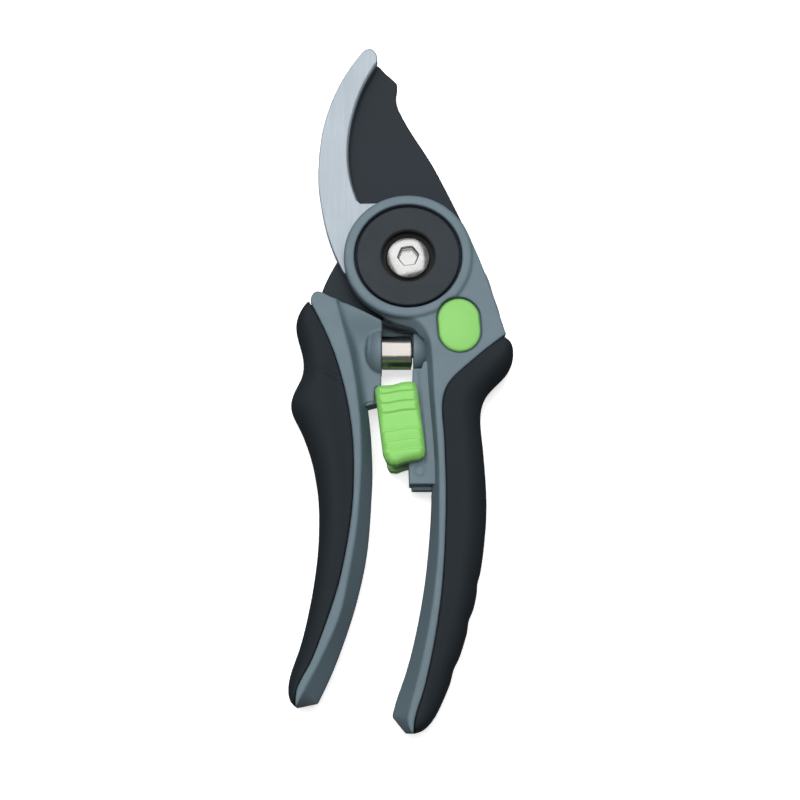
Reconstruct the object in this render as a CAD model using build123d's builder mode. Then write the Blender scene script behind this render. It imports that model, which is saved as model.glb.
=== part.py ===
from build123d import *
import math
import os

os.makedirs("parts", exist_ok=True)

# ---------------------------------------------------------------------------
# Bypass pruning shears, closed and locked, lying flat.
# Millimetres. +Z is the front face, +Y points to the blade tip, +X to the
# handle that carries the hook blade. The origin is on the pivot axis, on the
# rear plane that the shears rest on.
# Bodies: the right handle with the hook blade (root), the left handle with
# the cutting blade, and the lock slider.
# ---------------------------------------------------------------------------

# heights, from the resting plane
GRIP_TOP = 20.0            # soft grips, full thickness
MID = 10.0                 # mid plane of the handles
HOOK_Z0, HOOK_Z1 = 10.15, 13.65
BLADE_Z0, BLADE_Z1 = 6.85, 9.85
FACE_Z = 18.0              # front face of the nylon mouldings
BACK_Z = 2.0               # rear face of the nylon mouldings
RING_TOP = 18.8            # raised face of the front ring
R_BEVEL_Z = 13.9           # the right handle's inner bevel starts here
L_BEVEL_Z = 13.2           # the left handle's inner bevel starts here
WEB_Z = 13.2               # the left handle's web, between it and the spring

# pivot
RING_R = 19.2              # outer radius of the front ring
REAR_RING_R = 19.4
COVER_R = 15.5             # front cover disc
COVER_GAP = 0.45           # gap round the cover disc
COVER_BORE_R = 7.95
COVER_Z0, COVER_Z1 = 15.6, 18.3
SHANK_R = 3.0              # M6 pivot bolt
HEAD_R = 6.4
HEAD_Z0, HEAD_RIM_Z, HEAD_TOP_Z = 15.6, 16.1, 19.1
SOCKET_AF = 5.0
BUSH_R = 4.5
BUSH_RUN = 0.05            # radial running clearance of the blade on the bush
DISC_R = 17.5              # round part of both blades about the pivot

# lock slider
SLIDER_TRAVEL = 7.0
SLIDER_LEAN = 7.1          # degrees, bottom end towards +X
SLIDER_C = (-2.2, -51.2)
SLIDER_W, SLIDER_L = 12.6, 25.0

# spring
SPRING_Y, SPRING_Z = -27.6, MID
SPRING_X0, SPRING_X1 = -8.0, 1.2
SPRING_R = 5.4

# --- outlines in plan -------------------------------------------------------
HOOK_OUTER = [(-14.9, 67.7), (-18.2, 62.9), (-21.0, 57.9), (-23.3, 52.6),
              (-25.1, 47.1), (-26.4, 41.4), (-27.1, 35.7), (-27.4, 29.9),
              (-27.3, 24.1), (-26.6, 18.4), (-25.5, 12.7), (-24.0, 7.1),
              (-22.0, 1.7), (-19.5, -3.6)]
HOOK_INNER = [(-9.9, 64.3), (-12.4, 59.7), (-14.5, 55.0), (-16.1, 50.0),
              (-17.3, 45.0), (-18.0, 39.8), (-18.2, 34.6), (-17.8, 29.5),
              (-16.8, 24.4), (-15.2, 19.6)]
HOOK_TIP = [(-9.9, 64.3), (-9.5, 66.4), (-10.0, 68.3), (-11.4, 69.7),
            (-13.1, 69.5), (-14.9, 67.7)]
HOOK_TANG = [(21.9, -1.9), (23.1, -4.0), (25.2, -10.8), (27.5, -18.4),
             (27.4, -20.6), (25.0, -25.2), (20.2, -29.4), (15.2, -34.2),
             (10.6, -39.4), (9.2, -46.0), (9.4, -60.0), (8.9, -62.5),
             (8.0, -60.0), (7.2, -46.0), (6.4, -34.0), (5.8, -28.5),
             (5.3, -24.6), (3.8, -21.9), (-1.6, -20.0), (-7.6, -17.3)]
BLADE_EDGE = [(-10.1, 66.0), (-13.6, 60.6), (-16.6, 54.2), (-18.6, 47.4),
              (-19.9, 40.0), (-20.3, 33.0), (-19.7, 26.0), (-18.5, 19.5),
              (-17.3, 13.0)]
BLADE_POINT = [(-10.1, 66.0), (-9.5, 65.8), (-7.7, 64.0), (-5.7, 62.0),
               (-4.3, 60.7)]
BLADE_HEEL = [(-4.3, 60.7), (-3.4, 59.6), (-3.3, 58.2), (-3.6, 56.0),
              (-3.6, 53.6), (-2.9, 50.8)]
BLADE_SPINE = [(-2.9, 50.8), (0.1, 44.9), (3.9, 38.6), (7.4, 32.7),
               (10.6, 26.4), (13.6, 20.1), (16.5, 13.8)]
BLADE_TANG = [(-18.4, 7.0), (-21.4, 1.2), (-23.3, -2.3), (-25.1, -6.1),
              (-26.3, -9.9), (-26.4, -13.5), (-24.4, -19.0), (-21.4, -26.5),
              (-18.9, -34.0), (-17.0, -42.0), (-15.6, -50.5), (-15.0, -57.0),
              (-14.2, -59.5), (-13.3, -57.0), (-13.6, -50.5), (-14.4, -42.0),
              (-14.6, -34.0), (-14.2, -27.0), (-13.6, -21.8), (-11.0, -19.3),
              (-7.0, -16.0)]

# right handle: inner wall, inner edge of the front face, line to the grip
R_WALL = [(-8.2, -17.4), (-5.0, -19.5), (-1.4, -20.7), (1.6, -21.8),
          (3.3, -23.8), (4.2, -26.8), (4.5, -30.4), (4.7, -34.4),
          (5.2, -41.0), (5.9, -48.5), (6.6, -56.0), (7.0, -63.0),
          (6.8, -70.5), (6.4, -78.4), (5.8, -86.0), (5.0, -93.5),
          (3.9, -100.9), (2.5, -108.3), (0.8, -115.7), (-1.3, -122.9),
          (-3.8, -130.0), (-4.6, -133.0)]
R_FACE = [(-7.4, -16.6), (-4.6, -18.0), (-1.6, -18.4), (1.2, -19.2),
          (3.7, -20.9), (5.4, -23.4), (6.4, -26.6), (6.9, -31.0),
          (7.2, -38.0), (7.7, -46.0), (8.2, -54.0), (8.6, -62.0),
          (8.7, -70.5), (8.6, -78.4), (8.4, -86.0), (7.8, -93.5),
          (6.9, -100.9), (5.7, -108.3), (4.2, -115.7), (2.5, -122.9),
          (0.6, -130.0), (-0.4, -134.0)]
R_SEAM = [(1.3, -138.2), (1.6, -134.8), (3.6, -128.2), (5.4, -121.6),
          (6.9, -114.8), (8.1, -108.0), (9.1, -101.2), (9.8, -94.3),
          (10.3, -87.4), (10.6, -80.5), (10.8, -73.6), (10.8, -66.7),
          (10.6, -59.8), (10.3, -52.9), (9.9, -46.5), (11.3, -39.8),
          (16.2, -34.3), (21.4, -29.8), (26.4, -25.8), (28.8, -24.0)]
R_OUTER = [(28.8, -24.0), (30.6, -25.6), (31.3, -29.0), (29.9, -33.5),
           (26.4, -37.5), (23.0, -41.5), (21.4, -46.5), (21.4, -51.9),
           (21.9, -57.3), (22.3, -62.7), (22.6, -68.1), (22.7, -73.5),
           (22.5, -78.8), (22.0, -84.2), (21.3, -89.6), (20.4, -94.9),
           (19.4, -100.2), (18.1, -105.4), (16.6, -110.6), (15.0, -115.7),
           (13.2, -120.8), (11.2, -125.8), (9.0, -130.7), (6.2, -135.3),
           (3.4, -137.6), (1.3, -138.2)]
SHOULDER = [(28.8, -24.0), (26.9, -17.8), (24.7, -10.5), (22.2, -3.3),
            (19.4, 3.8), (16.3, 10.4)]

# left handle
L_TOP = [(-28.9, -12.6), (-28.2, -11.3), (-27.2, -10.7), (-26.1, -10.8),
         (-23.1, -12.3), (-18.7, -13.6), (-14.5, -16.2), (-11.9, -17.9),
         (-8.4, -19.9)]
L_INNER = [(-11.8, -45.5), (-11.2, -50.5), (-10.7, -57.5), (-10.5, -64.4),
           (-10.8, -72.6), (-11.3, -80.9), (-12.2, -89.1), (-13.8, -97.2),
           (-15.9, -105.2), (-18.5, -113.1), (-21.4, -120.8),
           (-24.7, -128.0), (-25.7, -130.0)]
L_VALLEY = [(-16.7, -14.1), (-15.6, -22.0), (-14.3, -29.0), (-12.9, -37.0),
            (-11.8, -45.5)]
L_FACE = [(-21.2, -13.2), (-20.1, -19.5), (-18.6, -26.5), (-16.9, -35.5),
          (-15.6, -45.5), (-15.0, -50.5), (-14.6, -57.5), (-14.5, -64.4),
          (-14.8, -72.6), (-15.4, -80.9), (-16.5, -89.1), (-17.8, -97.2),
          (-19.5, -105.2), (-22.4, -113.1), (-25.9, -120.8),
          (-29.2, -127.0), (-30.2, -129.0)]
L_SEAM = [(-31.3, -131.2), (-31.2, -126.8), (-27.9, -119.8),
          (-24.9, -112.6), (-22.3, -105.2), (-20.0, -97.7),
          (-18.3, -90.1), (-17.0, -82.4), (-16.1, -74.7), (-15.8, -66.9),
          (-15.9, -59.0), (-16.6, -51.3), (-17.9, -43.6), (-19.8, -36.0),
          (-22.2, -28.6), (-25.3, -21.4), (-28.9, -14.4)]
L_OUTER = [(-28.9, -14.4), (-29.4, -13.1), (-31.0, -14.0), (-32.6, -16.6),
           (-33.5, -19.8), (-32.7, -24.7), (-31.3, -30.0), (-31.5, -35.5),
           (-33.6, -40.2), (-34.6, -45.0), (-32.4, -50.3), (-29.9, -56.0),
           (-28.2, -61.2), (-27.0, -66.7), (-26.2, -72.1), (-25.9, -77.7),
           (-25.9, -83.2), (-26.2, -88.8), (-26.8, -94.3), (-27.6, -99.8),
           (-28.6, -105.2), (-29.8, -110.7), (-31.3, -116.0),
           (-33.1, -121.2), (-33.9, -126.2), (-33.0, -129.6),
           (-31.3, -131.2)]

# line along which the halves of each handle are screwed together
R_SCREWS = [(21.0, -20.5), (10.5, -32.0), (8.7, -70.0), (6.7, -100.0)]
L_SCREWS = [(-19.4, -21.5), (-13.2, -66.0), (-15.8, -92.0)]
SCREW_R, SCREW_HEAD_R = 1.1, 1.9


def rim(*runs):
    """Closed face in the current sketch, from runs of points in order."""
    with BuildLine() as outline:
        last = None
        for run in runs:
            if last is not None and math.dist(last, run[0]) > 1e-4:
                Line(last, run[0])
            if len(run) > 3:
                Spline(*run)
            elif len(run) > 1:
                Polyline(*run)
            last = run[-1]
        if math.dist(last, runs[0][0]) > 1e-4:
            Line(last, runs[0][0])
    make_face(outline.edges())


def polygon(*points):
    """Closed straight-sided face in the current sketch."""
    with BuildLine() as outline:
        Polyline(*points, close=True)
    make_face(outline.edges())


def slider_point(a, b):
    """Point at a across and b along the slider, from its centre."""
    t = math.radians(SLIDER_LEAN)
    return (SLIDER_C[0] + a * math.cos(t) - b * math.sin(t),
            SLIDER_C[1] + a * math.sin(t) + b * math.cos(t))


SLIDE_PLANE_X = (math.cos(math.radians(SLIDER_LEAN)),
                 math.sin(math.radians(SLIDER_LEAN)), 0)


def slider_plane(z):
    """Plane on the slider's centre line, its Y along the slider."""
    return Plane(origin=(SLIDER_C[0], SLIDER_C[1], z), x_dir=SLIDE_PLANE_X,
                 z_dir=(0, 0, 1))


# --- blades -----------------------------------------------------------------
# Hook blade: curved counter blade, round pivot plate and a tang that runs
# down inside the right handle.
with BuildPart() as hook_blade:
    with BuildSketch(Plane.XY.offset(HOOK_Z0)):
        rim(HOOK_OUTER[:], [HOOK_OUTER[-1], (-12.0, -10.0), (0.0, 0.0),
                            (-8.6, 18.3), (-13.6, 18.2), (-15.2, 19.6)],
            HOOK_INNER[::-1], HOOK_TIP)
        Circle(DISC_R)
        rim([(16.0, 0.0), HOOK_TANG[0]], HOOK_TANG[:5], HOOK_TANG[4:11],
            HOOK_TANG[10:13], HOOK_TANG[12:], [HOOK_TANG[-1], (0.0, 0.0)])
        with Locations((0, 0)):
            Circle(BUSH_R, mode=Mode.SUBTRACT)
        with Locations(*R_SCREWS[:2]):
            Circle(SCREW_R + 0.1, mode=Mode.SUBTRACT)
    extrude(amount=HOOK_Z1 - HOOK_Z0)
hook_blade.part.label = "hook_blade"
export_step(hook_blade.part, "parts/hook_blade.step")

# Cutting blade: runs behind the hook blade, its tang goes down the left
# handle. It turns on the bush with a running fit.
with BuildPart() as cutting_blade:
    with BuildSketch(Plane.XY.offset(BLADE_Z0)):
        rim(BLADE_EDGE, [BLADE_EDGE[-1], (-10.0, 0.0), (10.0, 0.0),
                         (17.3, 9.0), BLADE_SPINE[-1]],
            BLADE_SPINE[::-1], BLADE_HEEL[::-1], BLADE_POINT[::-1])
        Circle(DISC_R)
        rim([(-14.0, 9.0), BLADE_TANG[0]], BLADE_TANG[:6], BLADE_TANG[5:12],
            BLADE_TANG[11:14], BLADE_TANG[13:], [BLADE_TANG[-1], (0.0, 0.0)])
        Circle(BUSH_R + BUSH_RUN, mode=Mode.SUBTRACT)
        with Locations(*L_SCREWS[:1]):
            Circle(SCREW_R + 0.1, mode=Mode.SUBTRACT)
    extrude(amount=BLADE_Z1 - BLADE_Z0)
cutting_blade.part.label = "cutting_blade"
export_step(cutting_blade.part, "parts/cutting_blade.step")

# --- pivot ------------------------------------------------------------------
with BuildPart() as thrust_washer:
    with BuildSketch(Plane.XY.offset(BLADE_Z1 + 0.02)):
        Circle(9.0)
        Circle(BUSH_R + 0.1, mode=Mode.SUBTRACT)
    extrude(amount=HOOK_Z0 - BLADE_Z1 - 0.04)
thrust_washer.part.label = "thrust_washer"
export_step(thrust_washer.part, "parts/thrust_washer.step")

with BuildPart() as pivot_bush:
    with BuildSketch(Plane.XY.offset(BLADE_Z0 - 0.05)):
        Circle(BUSH_R)
        Circle(SHANK_R + 0.05, mode=Mode.SUBTRACT)
    extrude(amount=HOOK_Z1 - BLADE_Z0 + 0.05)
    with BuildSketch(Plane.XY.offset(HOOK_Z1)):
        Circle(8.6)
        Circle(SHANK_R + 0.05, mode=Mode.SUBTRACT)
    extrude(amount=1.1)
pivot_bush.part.label = "pivot_bush"
export_step(pivot_bush.part, "parts/pivot_bush.step")

with BuildPart() as bolt_washer:
    with BuildSketch(Plane.XY.offset(HOOK_Z1 + 1.1)):
        Circle(8.6)
        Circle(SHANK_R + 0.05, mode=Mode.SUBTRACT)
    extrude(amount=HEAD_Z0 - HOOK_Z1 - 1.1)
bolt_washer.part.label = "bolt_washer"
export_step(bolt_washer.part, "parts/bolt_washer.step")

# Button-head bolt with a hex socket
with BuildPart() as pivot_bolt:
    with BuildSketch(Plane.XZ):
        with BuildLine():
            Polyline((0, 2.6), (SHANK_R - 0.4, 2.6), (SHANK_R, 3.0),
                     (SHANK_R, HEAD_Z0), (HEAD_R, HEAD_Z0),
                     (HEAD_R, HEAD_RIM_Z))
            ThreePointArc((HEAD_R, HEAD_RIM_Z), (5.0, 18.1),
                          (2.9, HEAD_TOP_Z))
            Line((2.9, HEAD_TOP_Z), (0, HEAD_TOP_Z))
            Line((0, HEAD_TOP_Z), (0, 2.6))
        make_face()
    revolve(axis=Axis.Z)
    with BuildSketch(Plane.XY.offset(HEAD_TOP_Z - 2.1)):
        RegularPolygon(SOCKET_AF / 2, 6, major_radius=False)
    extrude(amount=3.0, mode=Mode.SUBTRACT)
pivot_bolt.part.label = "pivot_bolt"
export_step(pivot_bolt.part, "parts/pivot_bolt.step")

with BuildPart() as nut_washer:
    with BuildSketch(Plane.XY.offset(6.25)):
        Circle(7.4)
        Circle(SHANK_R + 0.1, mode=Mode.SUBTRACT)
    extrude(amount=0.5)
nut_washer.part.label = "nut_washer"
export_step(nut_washer.part, "parts/nut_washer.step")

with BuildPart() as pivot_nut:
    with BuildSketch(Plane.XY.offset(3.15)):
        RegularPolygon(5.0, 6, major_radius=False)
        Circle(SHANK_R, mode=Mode.SUBTRACT)
    extrude(amount=3.1)
pivot_nut.part.label = "pivot_nut"
export_step(pivot_nut.part, "parts/pivot_nut.step")

# Round front cover with a bevelled central hole, sunk in the ring
with BuildPart() as front_pivot_cover:
    with BuildSketch(Plane.XY.offset(COVER_Z0)):
        Circle(COVER_R)
        Circle(COVER_BORE_R + 0.75, mode=Mode.SUBTRACT)
    extrude(amount=COVER_Z1 - COVER_Z0)
    with BuildSketch(Plane.XY.offset(COVER_Z0 + 0.4)):
        Circle(COVER_BORE_R + 1.0)
        Circle(COVER_BORE_R, mode=Mode.SUBTRACT)
    extrude(amount=COVER_Z1 - COVER_Z0 - 1.0)
    fillet(front_pivot_cover.faces().sort_by(Axis.Z)[-1].outer_wire().edges(),
           0.5)
front_pivot_cover.part.label = "front_pivot_cover"
export_step(front_pivot_cover.part, "parts/front_pivot_cover.step")

# Closed rear cover: its flat outer face carries the pivot end at rest
with BuildPart() as rear_pivot_cover:
    with BuildSketch(Plane.XY):
        Circle(COVER_R)
    extrude(amount=1.8)
    chamfer(rear_pivot_cover.faces().sort_by(Axis.Z)[0].edges(), 0.4)
rear_pivot_cover.part.label = "rear_pivot_cover"
export_step(rear_pivot_cover.part, "parts/rear_pivot_cover.step")

# --- right handle mouldings ---------------------------------------------------
with BuildPart() as right_front_shell:
    # body of the moulding, up to the start of the bevel
    with BuildSketch(Plane.XY.offset(MID + 0.15)):
        rim(R_WALL, [R_WALL[-1], (-4.2, -134.2), (-0.9, -138.1), R_SEAM[0]],
            R_SEAM, SHOULDER, [SHOULDER[-1], (0.0, 0.0), R_WALL[0]])
    extrude(amount=R_BEVEL_Z - MID - 0.15)
    # bevel up to the front face
    with BuildSketch(Plane.XY.offset(R_BEVEL_Z)):
        rim(R_WALL, [R_WALL[-1], (-4.2, -134.2), (-0.9, -138.1), R_SEAM[0]],
            R_SEAM, SHOULDER, [SHOULDER[-1], (0.0, 0.0), R_WALL[0]])
    with BuildSketch(Plane.XY.offset(FACE_Z)):
        rim(R_FACE, [R_FACE[-1], (-0.2, -135.6), (0.5, -137.4), R_SEAM[0]],
            R_SEAM, SHOULDER, [SHOULDER[-1], (0.0, 0.0), R_FACE[0]])
    loft(ruled=True)
    # raised ring round the pivot
    with BuildSketch(Plane.XY.offset(HOOK_Z1)):
        Circle(RING_R)
    extrude(amount=RING_TOP - HOOK_Z1)
    # room for the hook blade and its tang
    with BuildSketch(Plane.XY.offset(MID)):
        Circle(RING_R + 0.5)
        rim([(16.0, 0.0), HOOK_TANG[0]], HOOK_TANG[:5], HOOK_TANG[4:11],
            HOOK_TANG[10:13], HOOK_TANG[12:], [HOOK_TANG[-1], (0.0, 0.0)])
        polygon((15.0, -6.0), (15.0, 15.0), (30.0, 15.0), (30.0, -2.2),
                (22.0, -2.2))
    extrude(amount=HOOK_Z1 - MID, mode=Mode.SUBTRACT)
    # recess for the cover disc, bore for the bush flange and the washer
    with BuildSketch(Plane.XY.offset(COVER_Z0)):
        Circle(COVER_R + COVER_GAP)
    extrude(amount=5.0, mode=Mode.SUBTRACT)
    with BuildSketch(Plane.XY.offset(HOOK_Z1)):
        Circle(8.8)
    extrude(amount=5.0, mode=Mode.SUBTRACT)
    # room for the spring and seat of its cup
    with BuildSketch(Plane.YZ.offset(-10.0)):
        with Locations((SPRING_Y, SPRING_Z)):
            Circle(5.6)
    extrude(amount=14.5, mode=Mode.SUBTRACT)
    # oval recess for the inlay
    with BuildSketch(Plane(origin=(15.0, -21.2, FACE_Z - 1.4),
                           x_dir=(math.cos(math.radians(94)),
                                  math.sin(math.radians(94)), 0),
                           z_dir=(0, 0, 1))):
        SlotOverall(17.0, 13.1)
    extrude(amount=3.0, mode=Mode.SUBTRACT)
    # blind screw bosses, from the rear
    with BuildSketch(Plane.XY.offset(MID)):
        with Locations(*R_SCREWS):
            Circle(SCREW_R)
    extrude(amount=5.0, mode=Mode.SUBTRACT)
right_front_shell.part.label = "right_front_shell"
export_step(right_front_shell.part, "parts/right_front_shell.step")

R_REAR_WALL = [(2.6, -23.2), (3.4, -24.3)] + R_WALL[5:]
R_REAR_FACE = [(4.3, -22.4), (5.3, -24.0)] + R_FACE[6:]
with BuildPart() as right_rear_shell:
    with BuildSketch(Plane.XY.offset(20 - R_BEVEL_Z)):
        rim(R_REAR_WALL,
            [R_REAR_WALL[-1], (-4.2, -134.2), (-0.9, -138.1), R_SEAM[0]],
            R_SEAM, SHOULDER[:3], [SHOULDER[2], (23.4, -6.6), (20.0, -6.2),
                                   R_REAR_WALL[0]])
        Circle(20.8, mode=Mode.SUBTRACT)
    extrude(amount=MID + 0.1 - (20 - R_BEVEL_Z))
    with BuildSketch(Plane.XY.offset(BACK_Z)):
        rim(R_REAR_FACE,
            [R_REAR_FACE[-1], (-0.2, -135.6), (0.5, -137.4), R_SEAM[0]],
            R_SEAM, SHOULDER[:3],
            [SHOULDER[2], (23.4, -6.6), (20.0, -6.2), R_REAR_FACE[0]])
    with BuildSketch(Plane.XY.offset(20 - R_BEVEL_Z)):
        rim(R_REAR_WALL,
            [R_REAR_WALL[-1], (-4.2, -134.2), (-0.9, -138.1), R_SEAM[0]],
            R_SEAM, SHOULDER[:3], [SHOULDER[2], (23.4, -6.6), (20.0, -6.2),
                                   R_REAR_WALL[0]])
    loft(ruled=True)
    with BuildSketch(Plane.XY):
        Circle(20.8)
    extrude(amount=12.0, mode=Mode.SUBTRACT)
    # shelf behind the spring, closing the gap under the pivot ring
    with BuildSketch(Plane.XY.offset(2.6)):
        polygon((-7.5, -18.6), (-4.0, -19.65), (0.0, -20.0), (3.0, -19.8),
                (6.5, -22.5), (6.5, -25.0), (-7.5, -23.8))
    extrude(amount=2.3)
    with BuildSketch(Plane.YZ.offset(-10.0)):
        with Locations((SPRING_Y, SPRING_Z)):
            Circle(5.6)
    extrude(amount=14.5, mode=Mode.SUBTRACT)
    with BuildSketch(Plane.XY.offset(BACK_Z)):
        with Locations(*R_SCREWS):
            Circle(SCREW_HEAD_R + 0.1)
    extrude(amount=1.7, mode=Mode.SUBTRACT)
    with BuildSketch(Plane.XY.offset(BACK_Z)):
        with Locations(*R_SCREWS):
            Circle(SCREW_R + 0.1)
    extrude(amount=10.0, mode=Mode.SUBTRACT)
right_rear_shell.part.label = "right_rear_shell"
export_step(right_rear_shell.part, "parts/right_rear_shell.step")

# Soft grips: one closed moulding on the outer side of each handle
with BuildPart() as right_grip:
    with BuildSketch(Plane.XY):
        rim(R_OUTER, R_SEAM)
    extrude(amount=GRIP_TOP)
    chamfer(right_grip.faces().sort_by(Axis.Z)[-1].edges(), 1.2)
    chamfer(right_grip.faces().sort_by(Axis.Z)[0].edges(), 1.2)
right_grip.part.label = "right_grip"
export_step(right_grip.part, "parts/right_grip.step")

with BuildPart() as left_grip:
    with BuildSketch(Plane.XY):
        rim(L_OUTER, L_SEAM)
    extrude(amount=GRIP_TOP)
    chamfer(left_grip.faces().sort_by(Axis.Z)[-1].edges(), 1.2)
    chamfer(left_grip.faces().sort_by(Axis.Z)[0].edges(), 1.2)
left_grip.part.label = "left_grip"
export_step(left_grip.part, "parts/left_grip.step")

# Oval inlay in the right shoulder
with BuildPart() as oval_badge:
    with BuildSketch(Plane(origin=(15.0, -21.2, FACE_Z - 1.35),
                           x_dir=(math.cos(math.radians(94)),
                                  math.sin(math.radians(94)), 0),
                           z_dir=(0, 0, 1))):
        SlotOverall(16.5, 12.6)
    extrude(amount=1.75)
    fillet(oval_badge.faces().sort_by(Axis.Z)[-1].edges(), 0.5)
oval_badge.part.label = "oval_badge"
export_step(oval_badge.part, "parts/oval_badge.step")

# --- left handle mouldings ----------------------------------------------------
L_FACE_TOP = [(-28.85, -12.7), (-28.15, -11.4), (-27.2, -10.8),
              (-26.1, -10.9), (-23.1, -12.4), (-21.7, -13.0)]
# flange between the handle and the spring, thinner than the handle
L_WEB = [(-18.0, -14.3), (-14.6, -14.9), (-11.9, -16.45), (-8.4, -18.5),
         (-7.9, -19.9), (-7.9, -30.0), (-8.0, -36.2), (-12.0, -36.8),
         (-12.7, -41.0), (-17.5, -41.0)]
with BuildPart() as left_front_shell:
    with BuildSketch(Plane.XY.offset(MID)):
        rim(L_TOP[:6], [L_TOP[5], L_VALLEY[0]], L_VALLEY + L_INNER[1:],
            [L_INNER[-1], L_SEAM[0]], L_SEAM)
    extrude(amount=L_BEVEL_Z - MID)
    with BuildSketch(Plane.XY.offset(L_BEVEL_Z)):
        rim(L_TOP[:6], [L_TOP[5], L_VALLEY[0]], L_VALLEY + L_INNER[1:],
            [L_INNER[-1], L_SEAM[0]], L_SEAM)
    with BuildSketch(Plane.XY.offset(FACE_Z)):
        rim(L_FACE_TOP, [L_FACE_TOP[-1], L_FACE[0]], L_FACE,
            [L_FACE[-1], L_SEAM[0]], L_SEAM)
    loft(ruled=True)
    with BuildSketch(Plane.XY.offset(MID)):
        polygon(*L_WEB)
    extrude(amount=WEB_Z - MID)
    # pockets: spring cup, tongue root
    with BuildSketch(Plane.YZ.offset(-13.2)):
        with Locations((SPRING_Y, SPRING_Z)):
            Circle(6.7)
    extrude(amount=8.0, mode=Mode.SUBTRACT)
    with BuildSketch(Plane.XY.offset(5.5)):
        polygon((-14.2, -34.6), (-7.0, -34.6), (-7.0, -46.2),
                (-14.2, -46.2))
    extrude(amount=8.5, mode=Mode.SUBTRACT)
    with BuildSketch(Plane.XY.offset(MID - 1)):
        with Locations(*L_SCREWS):
            Circle(SCREW_R)
    extrude(amount=6.0, mode=Mode.SUBTRACT)
left_front_shell.part.label = "left_front_shell"
export_step(left_front_shell.part, "parts/left_front_shell.step")

with BuildPart() as left_rear_shell:
    with BuildSketch(Plane.XY.offset(20 - L_BEVEL_Z)):
        rim(L_TOP[:6], [L_TOP[5], L_VALLEY[0]], L_VALLEY + L_INNER[1:],
            [L_INNER[-1], L_SEAM[0]], L_SEAM)
    extrude(amount=MID - (20 - L_BEVEL_Z))
    with BuildSketch(Plane.XY.offset(BACK_Z)):
        rim(L_FACE_TOP, [L_FACE_TOP[-1], L_FACE[0]], L_FACE,
            [L_FACE[-1], L_SEAM[0]], L_SEAM)
    with BuildSketch(Plane.XY.offset(20 - L_BEVEL_Z)):
        rim(L_TOP[:6], [L_TOP[5], L_VALLEY[0]], L_VALLEY + L_INNER[1:],
            [L_INNER[-1], L_SEAM[0]], L_SEAM)
    loft(ruled=True)
    with BuildSketch(Plane.XY.offset(20 - L_BEVEL_Z + 0.1)):
        polygon(*L_WEB)
    extrude(amount=MID - (20 - L_BEVEL_Z) - 0.1)
    # round rear plate about the pivot, joined to the handle
    with BuildSketch(Plane.XY.offset(0.6)):
        Circle(REAR_RING_R)
    extrude(amount=BLADE_Z0 - 0.65)
    with BuildSketch(Plane.XY.offset(2.4)):
        polygon((-18.5, 0.0), (-24.2, -12.8), (-16.0, -20.0), (-9.4, -19.0),
                (-8.0, -16.0))
    extrude(amount=BLADE_Z0 - 2.45)
    # the blade and its tang lie in this half
    with BuildSketch(Plane.XY.offset(BLADE_Z0 - 0.02)):
        Circle(REAR_RING_R + 0.6)
        rim([(-14.0, 9.0), BLADE_TANG[0]], BLADE_TANG[:6], BLADE_TANG[5:12],
            BLADE_TANG[11:14], BLADE_TANG[13:], [BLADE_TANG[-1], (0.0, 0.0)])
    extrude(amount=4.0, mode=Mode.SUBTRACT)
    # room for the nut and the seat of the rear cover
    with BuildSketch(Plane.XY.offset(1.8)):
        Circle(9.5)
    extrude(amount=6.0, mode=Mode.SUBTRACT)
    with BuildSketch(Plane.XY):
        Circle(COVER_R + 0.05)
    extrude(amount=1.8, mode=Mode.SUBTRACT)
    with BuildSketch(Plane.YZ.offset(-13.2)):
        with Locations((SPRING_Y, SPRING_Z)):
            Circle(6.7)
    extrude(amount=8.0, mode=Mode.SUBTRACT)
    with BuildSketch(Plane.XY.offset(6.0)):
        polygon((-14.2, -34.6), (-7.0, -34.6), (-7.0, -46.2),
                (-14.2, -46.2))
    extrude(amount=8.5, mode=Mode.SUBTRACT)
    with BuildSketch(Plane.XY.offset(BACK_Z)):
        with Locations(*L_SCREWS):
            Circle(SCREW_HEAD_R + 0.1)
    extrude(amount=1.7, mode=Mode.SUBTRACT)
    with BuildSketch(Plane.XY.offset(BACK_Z)):
        with Locations(*L_SCREWS):
            Circle(SCREW_R + 0.1)
    extrude(amount=10.0, mode=Mode.SUBTRACT)
left_rear_shell.part.label = "left_rear_shell"
export_step(left_rear_shell.part, "parts/left_rear_shell.step")

# Tongue of the left handle that reaches under the slider
with BuildPart() as lock_tongue:
    with BuildSketch(Plane.XY.offset(6.1)):
        polygon((-13.9, -34.7), (-8.1, -34.7), (-8.0, -42.6), (-8.8, -43.8),
                (-11.6, -44.5), (-13.9, -45.2))
    extrude(amount=WEB_Z - 6.1)
    # step for the slider's nose, open along the slider's travel
    with BuildSketch(Plane.XY.offset(12.6)):
        polygon((-9.9, -47.0), (-7.0, -47.0), (-7.0, -39.0), (-9.9, -39.0))
    extrude(amount=3.0, mode=Mode.SUBTRACT)
lock_tongue.part.label = "lock_tongue"
export_step(lock_tongue.part, "parts/lock_tongue.step")

# --- spring and its cups --------------------------------------------------------
with BuildPart() as left_spring_cup:
    with BuildSketch(Plane.YZ.offset(-13.15)):
        with Locations((SPRING_Y, SPRING_Z)):
            Circle(6.6)
    extrude(amount=13.15 - 8.3)
    fillet(left_spring_cup.faces().sort_by(Axis.X)[0].edges(), 2.0)
    with BuildSketch(Plane.YZ.offset(-8.3)):
        with Locations((SPRING_Y, SPRING_Z)):
            Circle(1.6)
    extrude(amount=2.2)
left_spring_cup.part.label = "left_spring_cup"
export_step(left_spring_cup.part, "parts/left_spring_cup.step")

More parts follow.
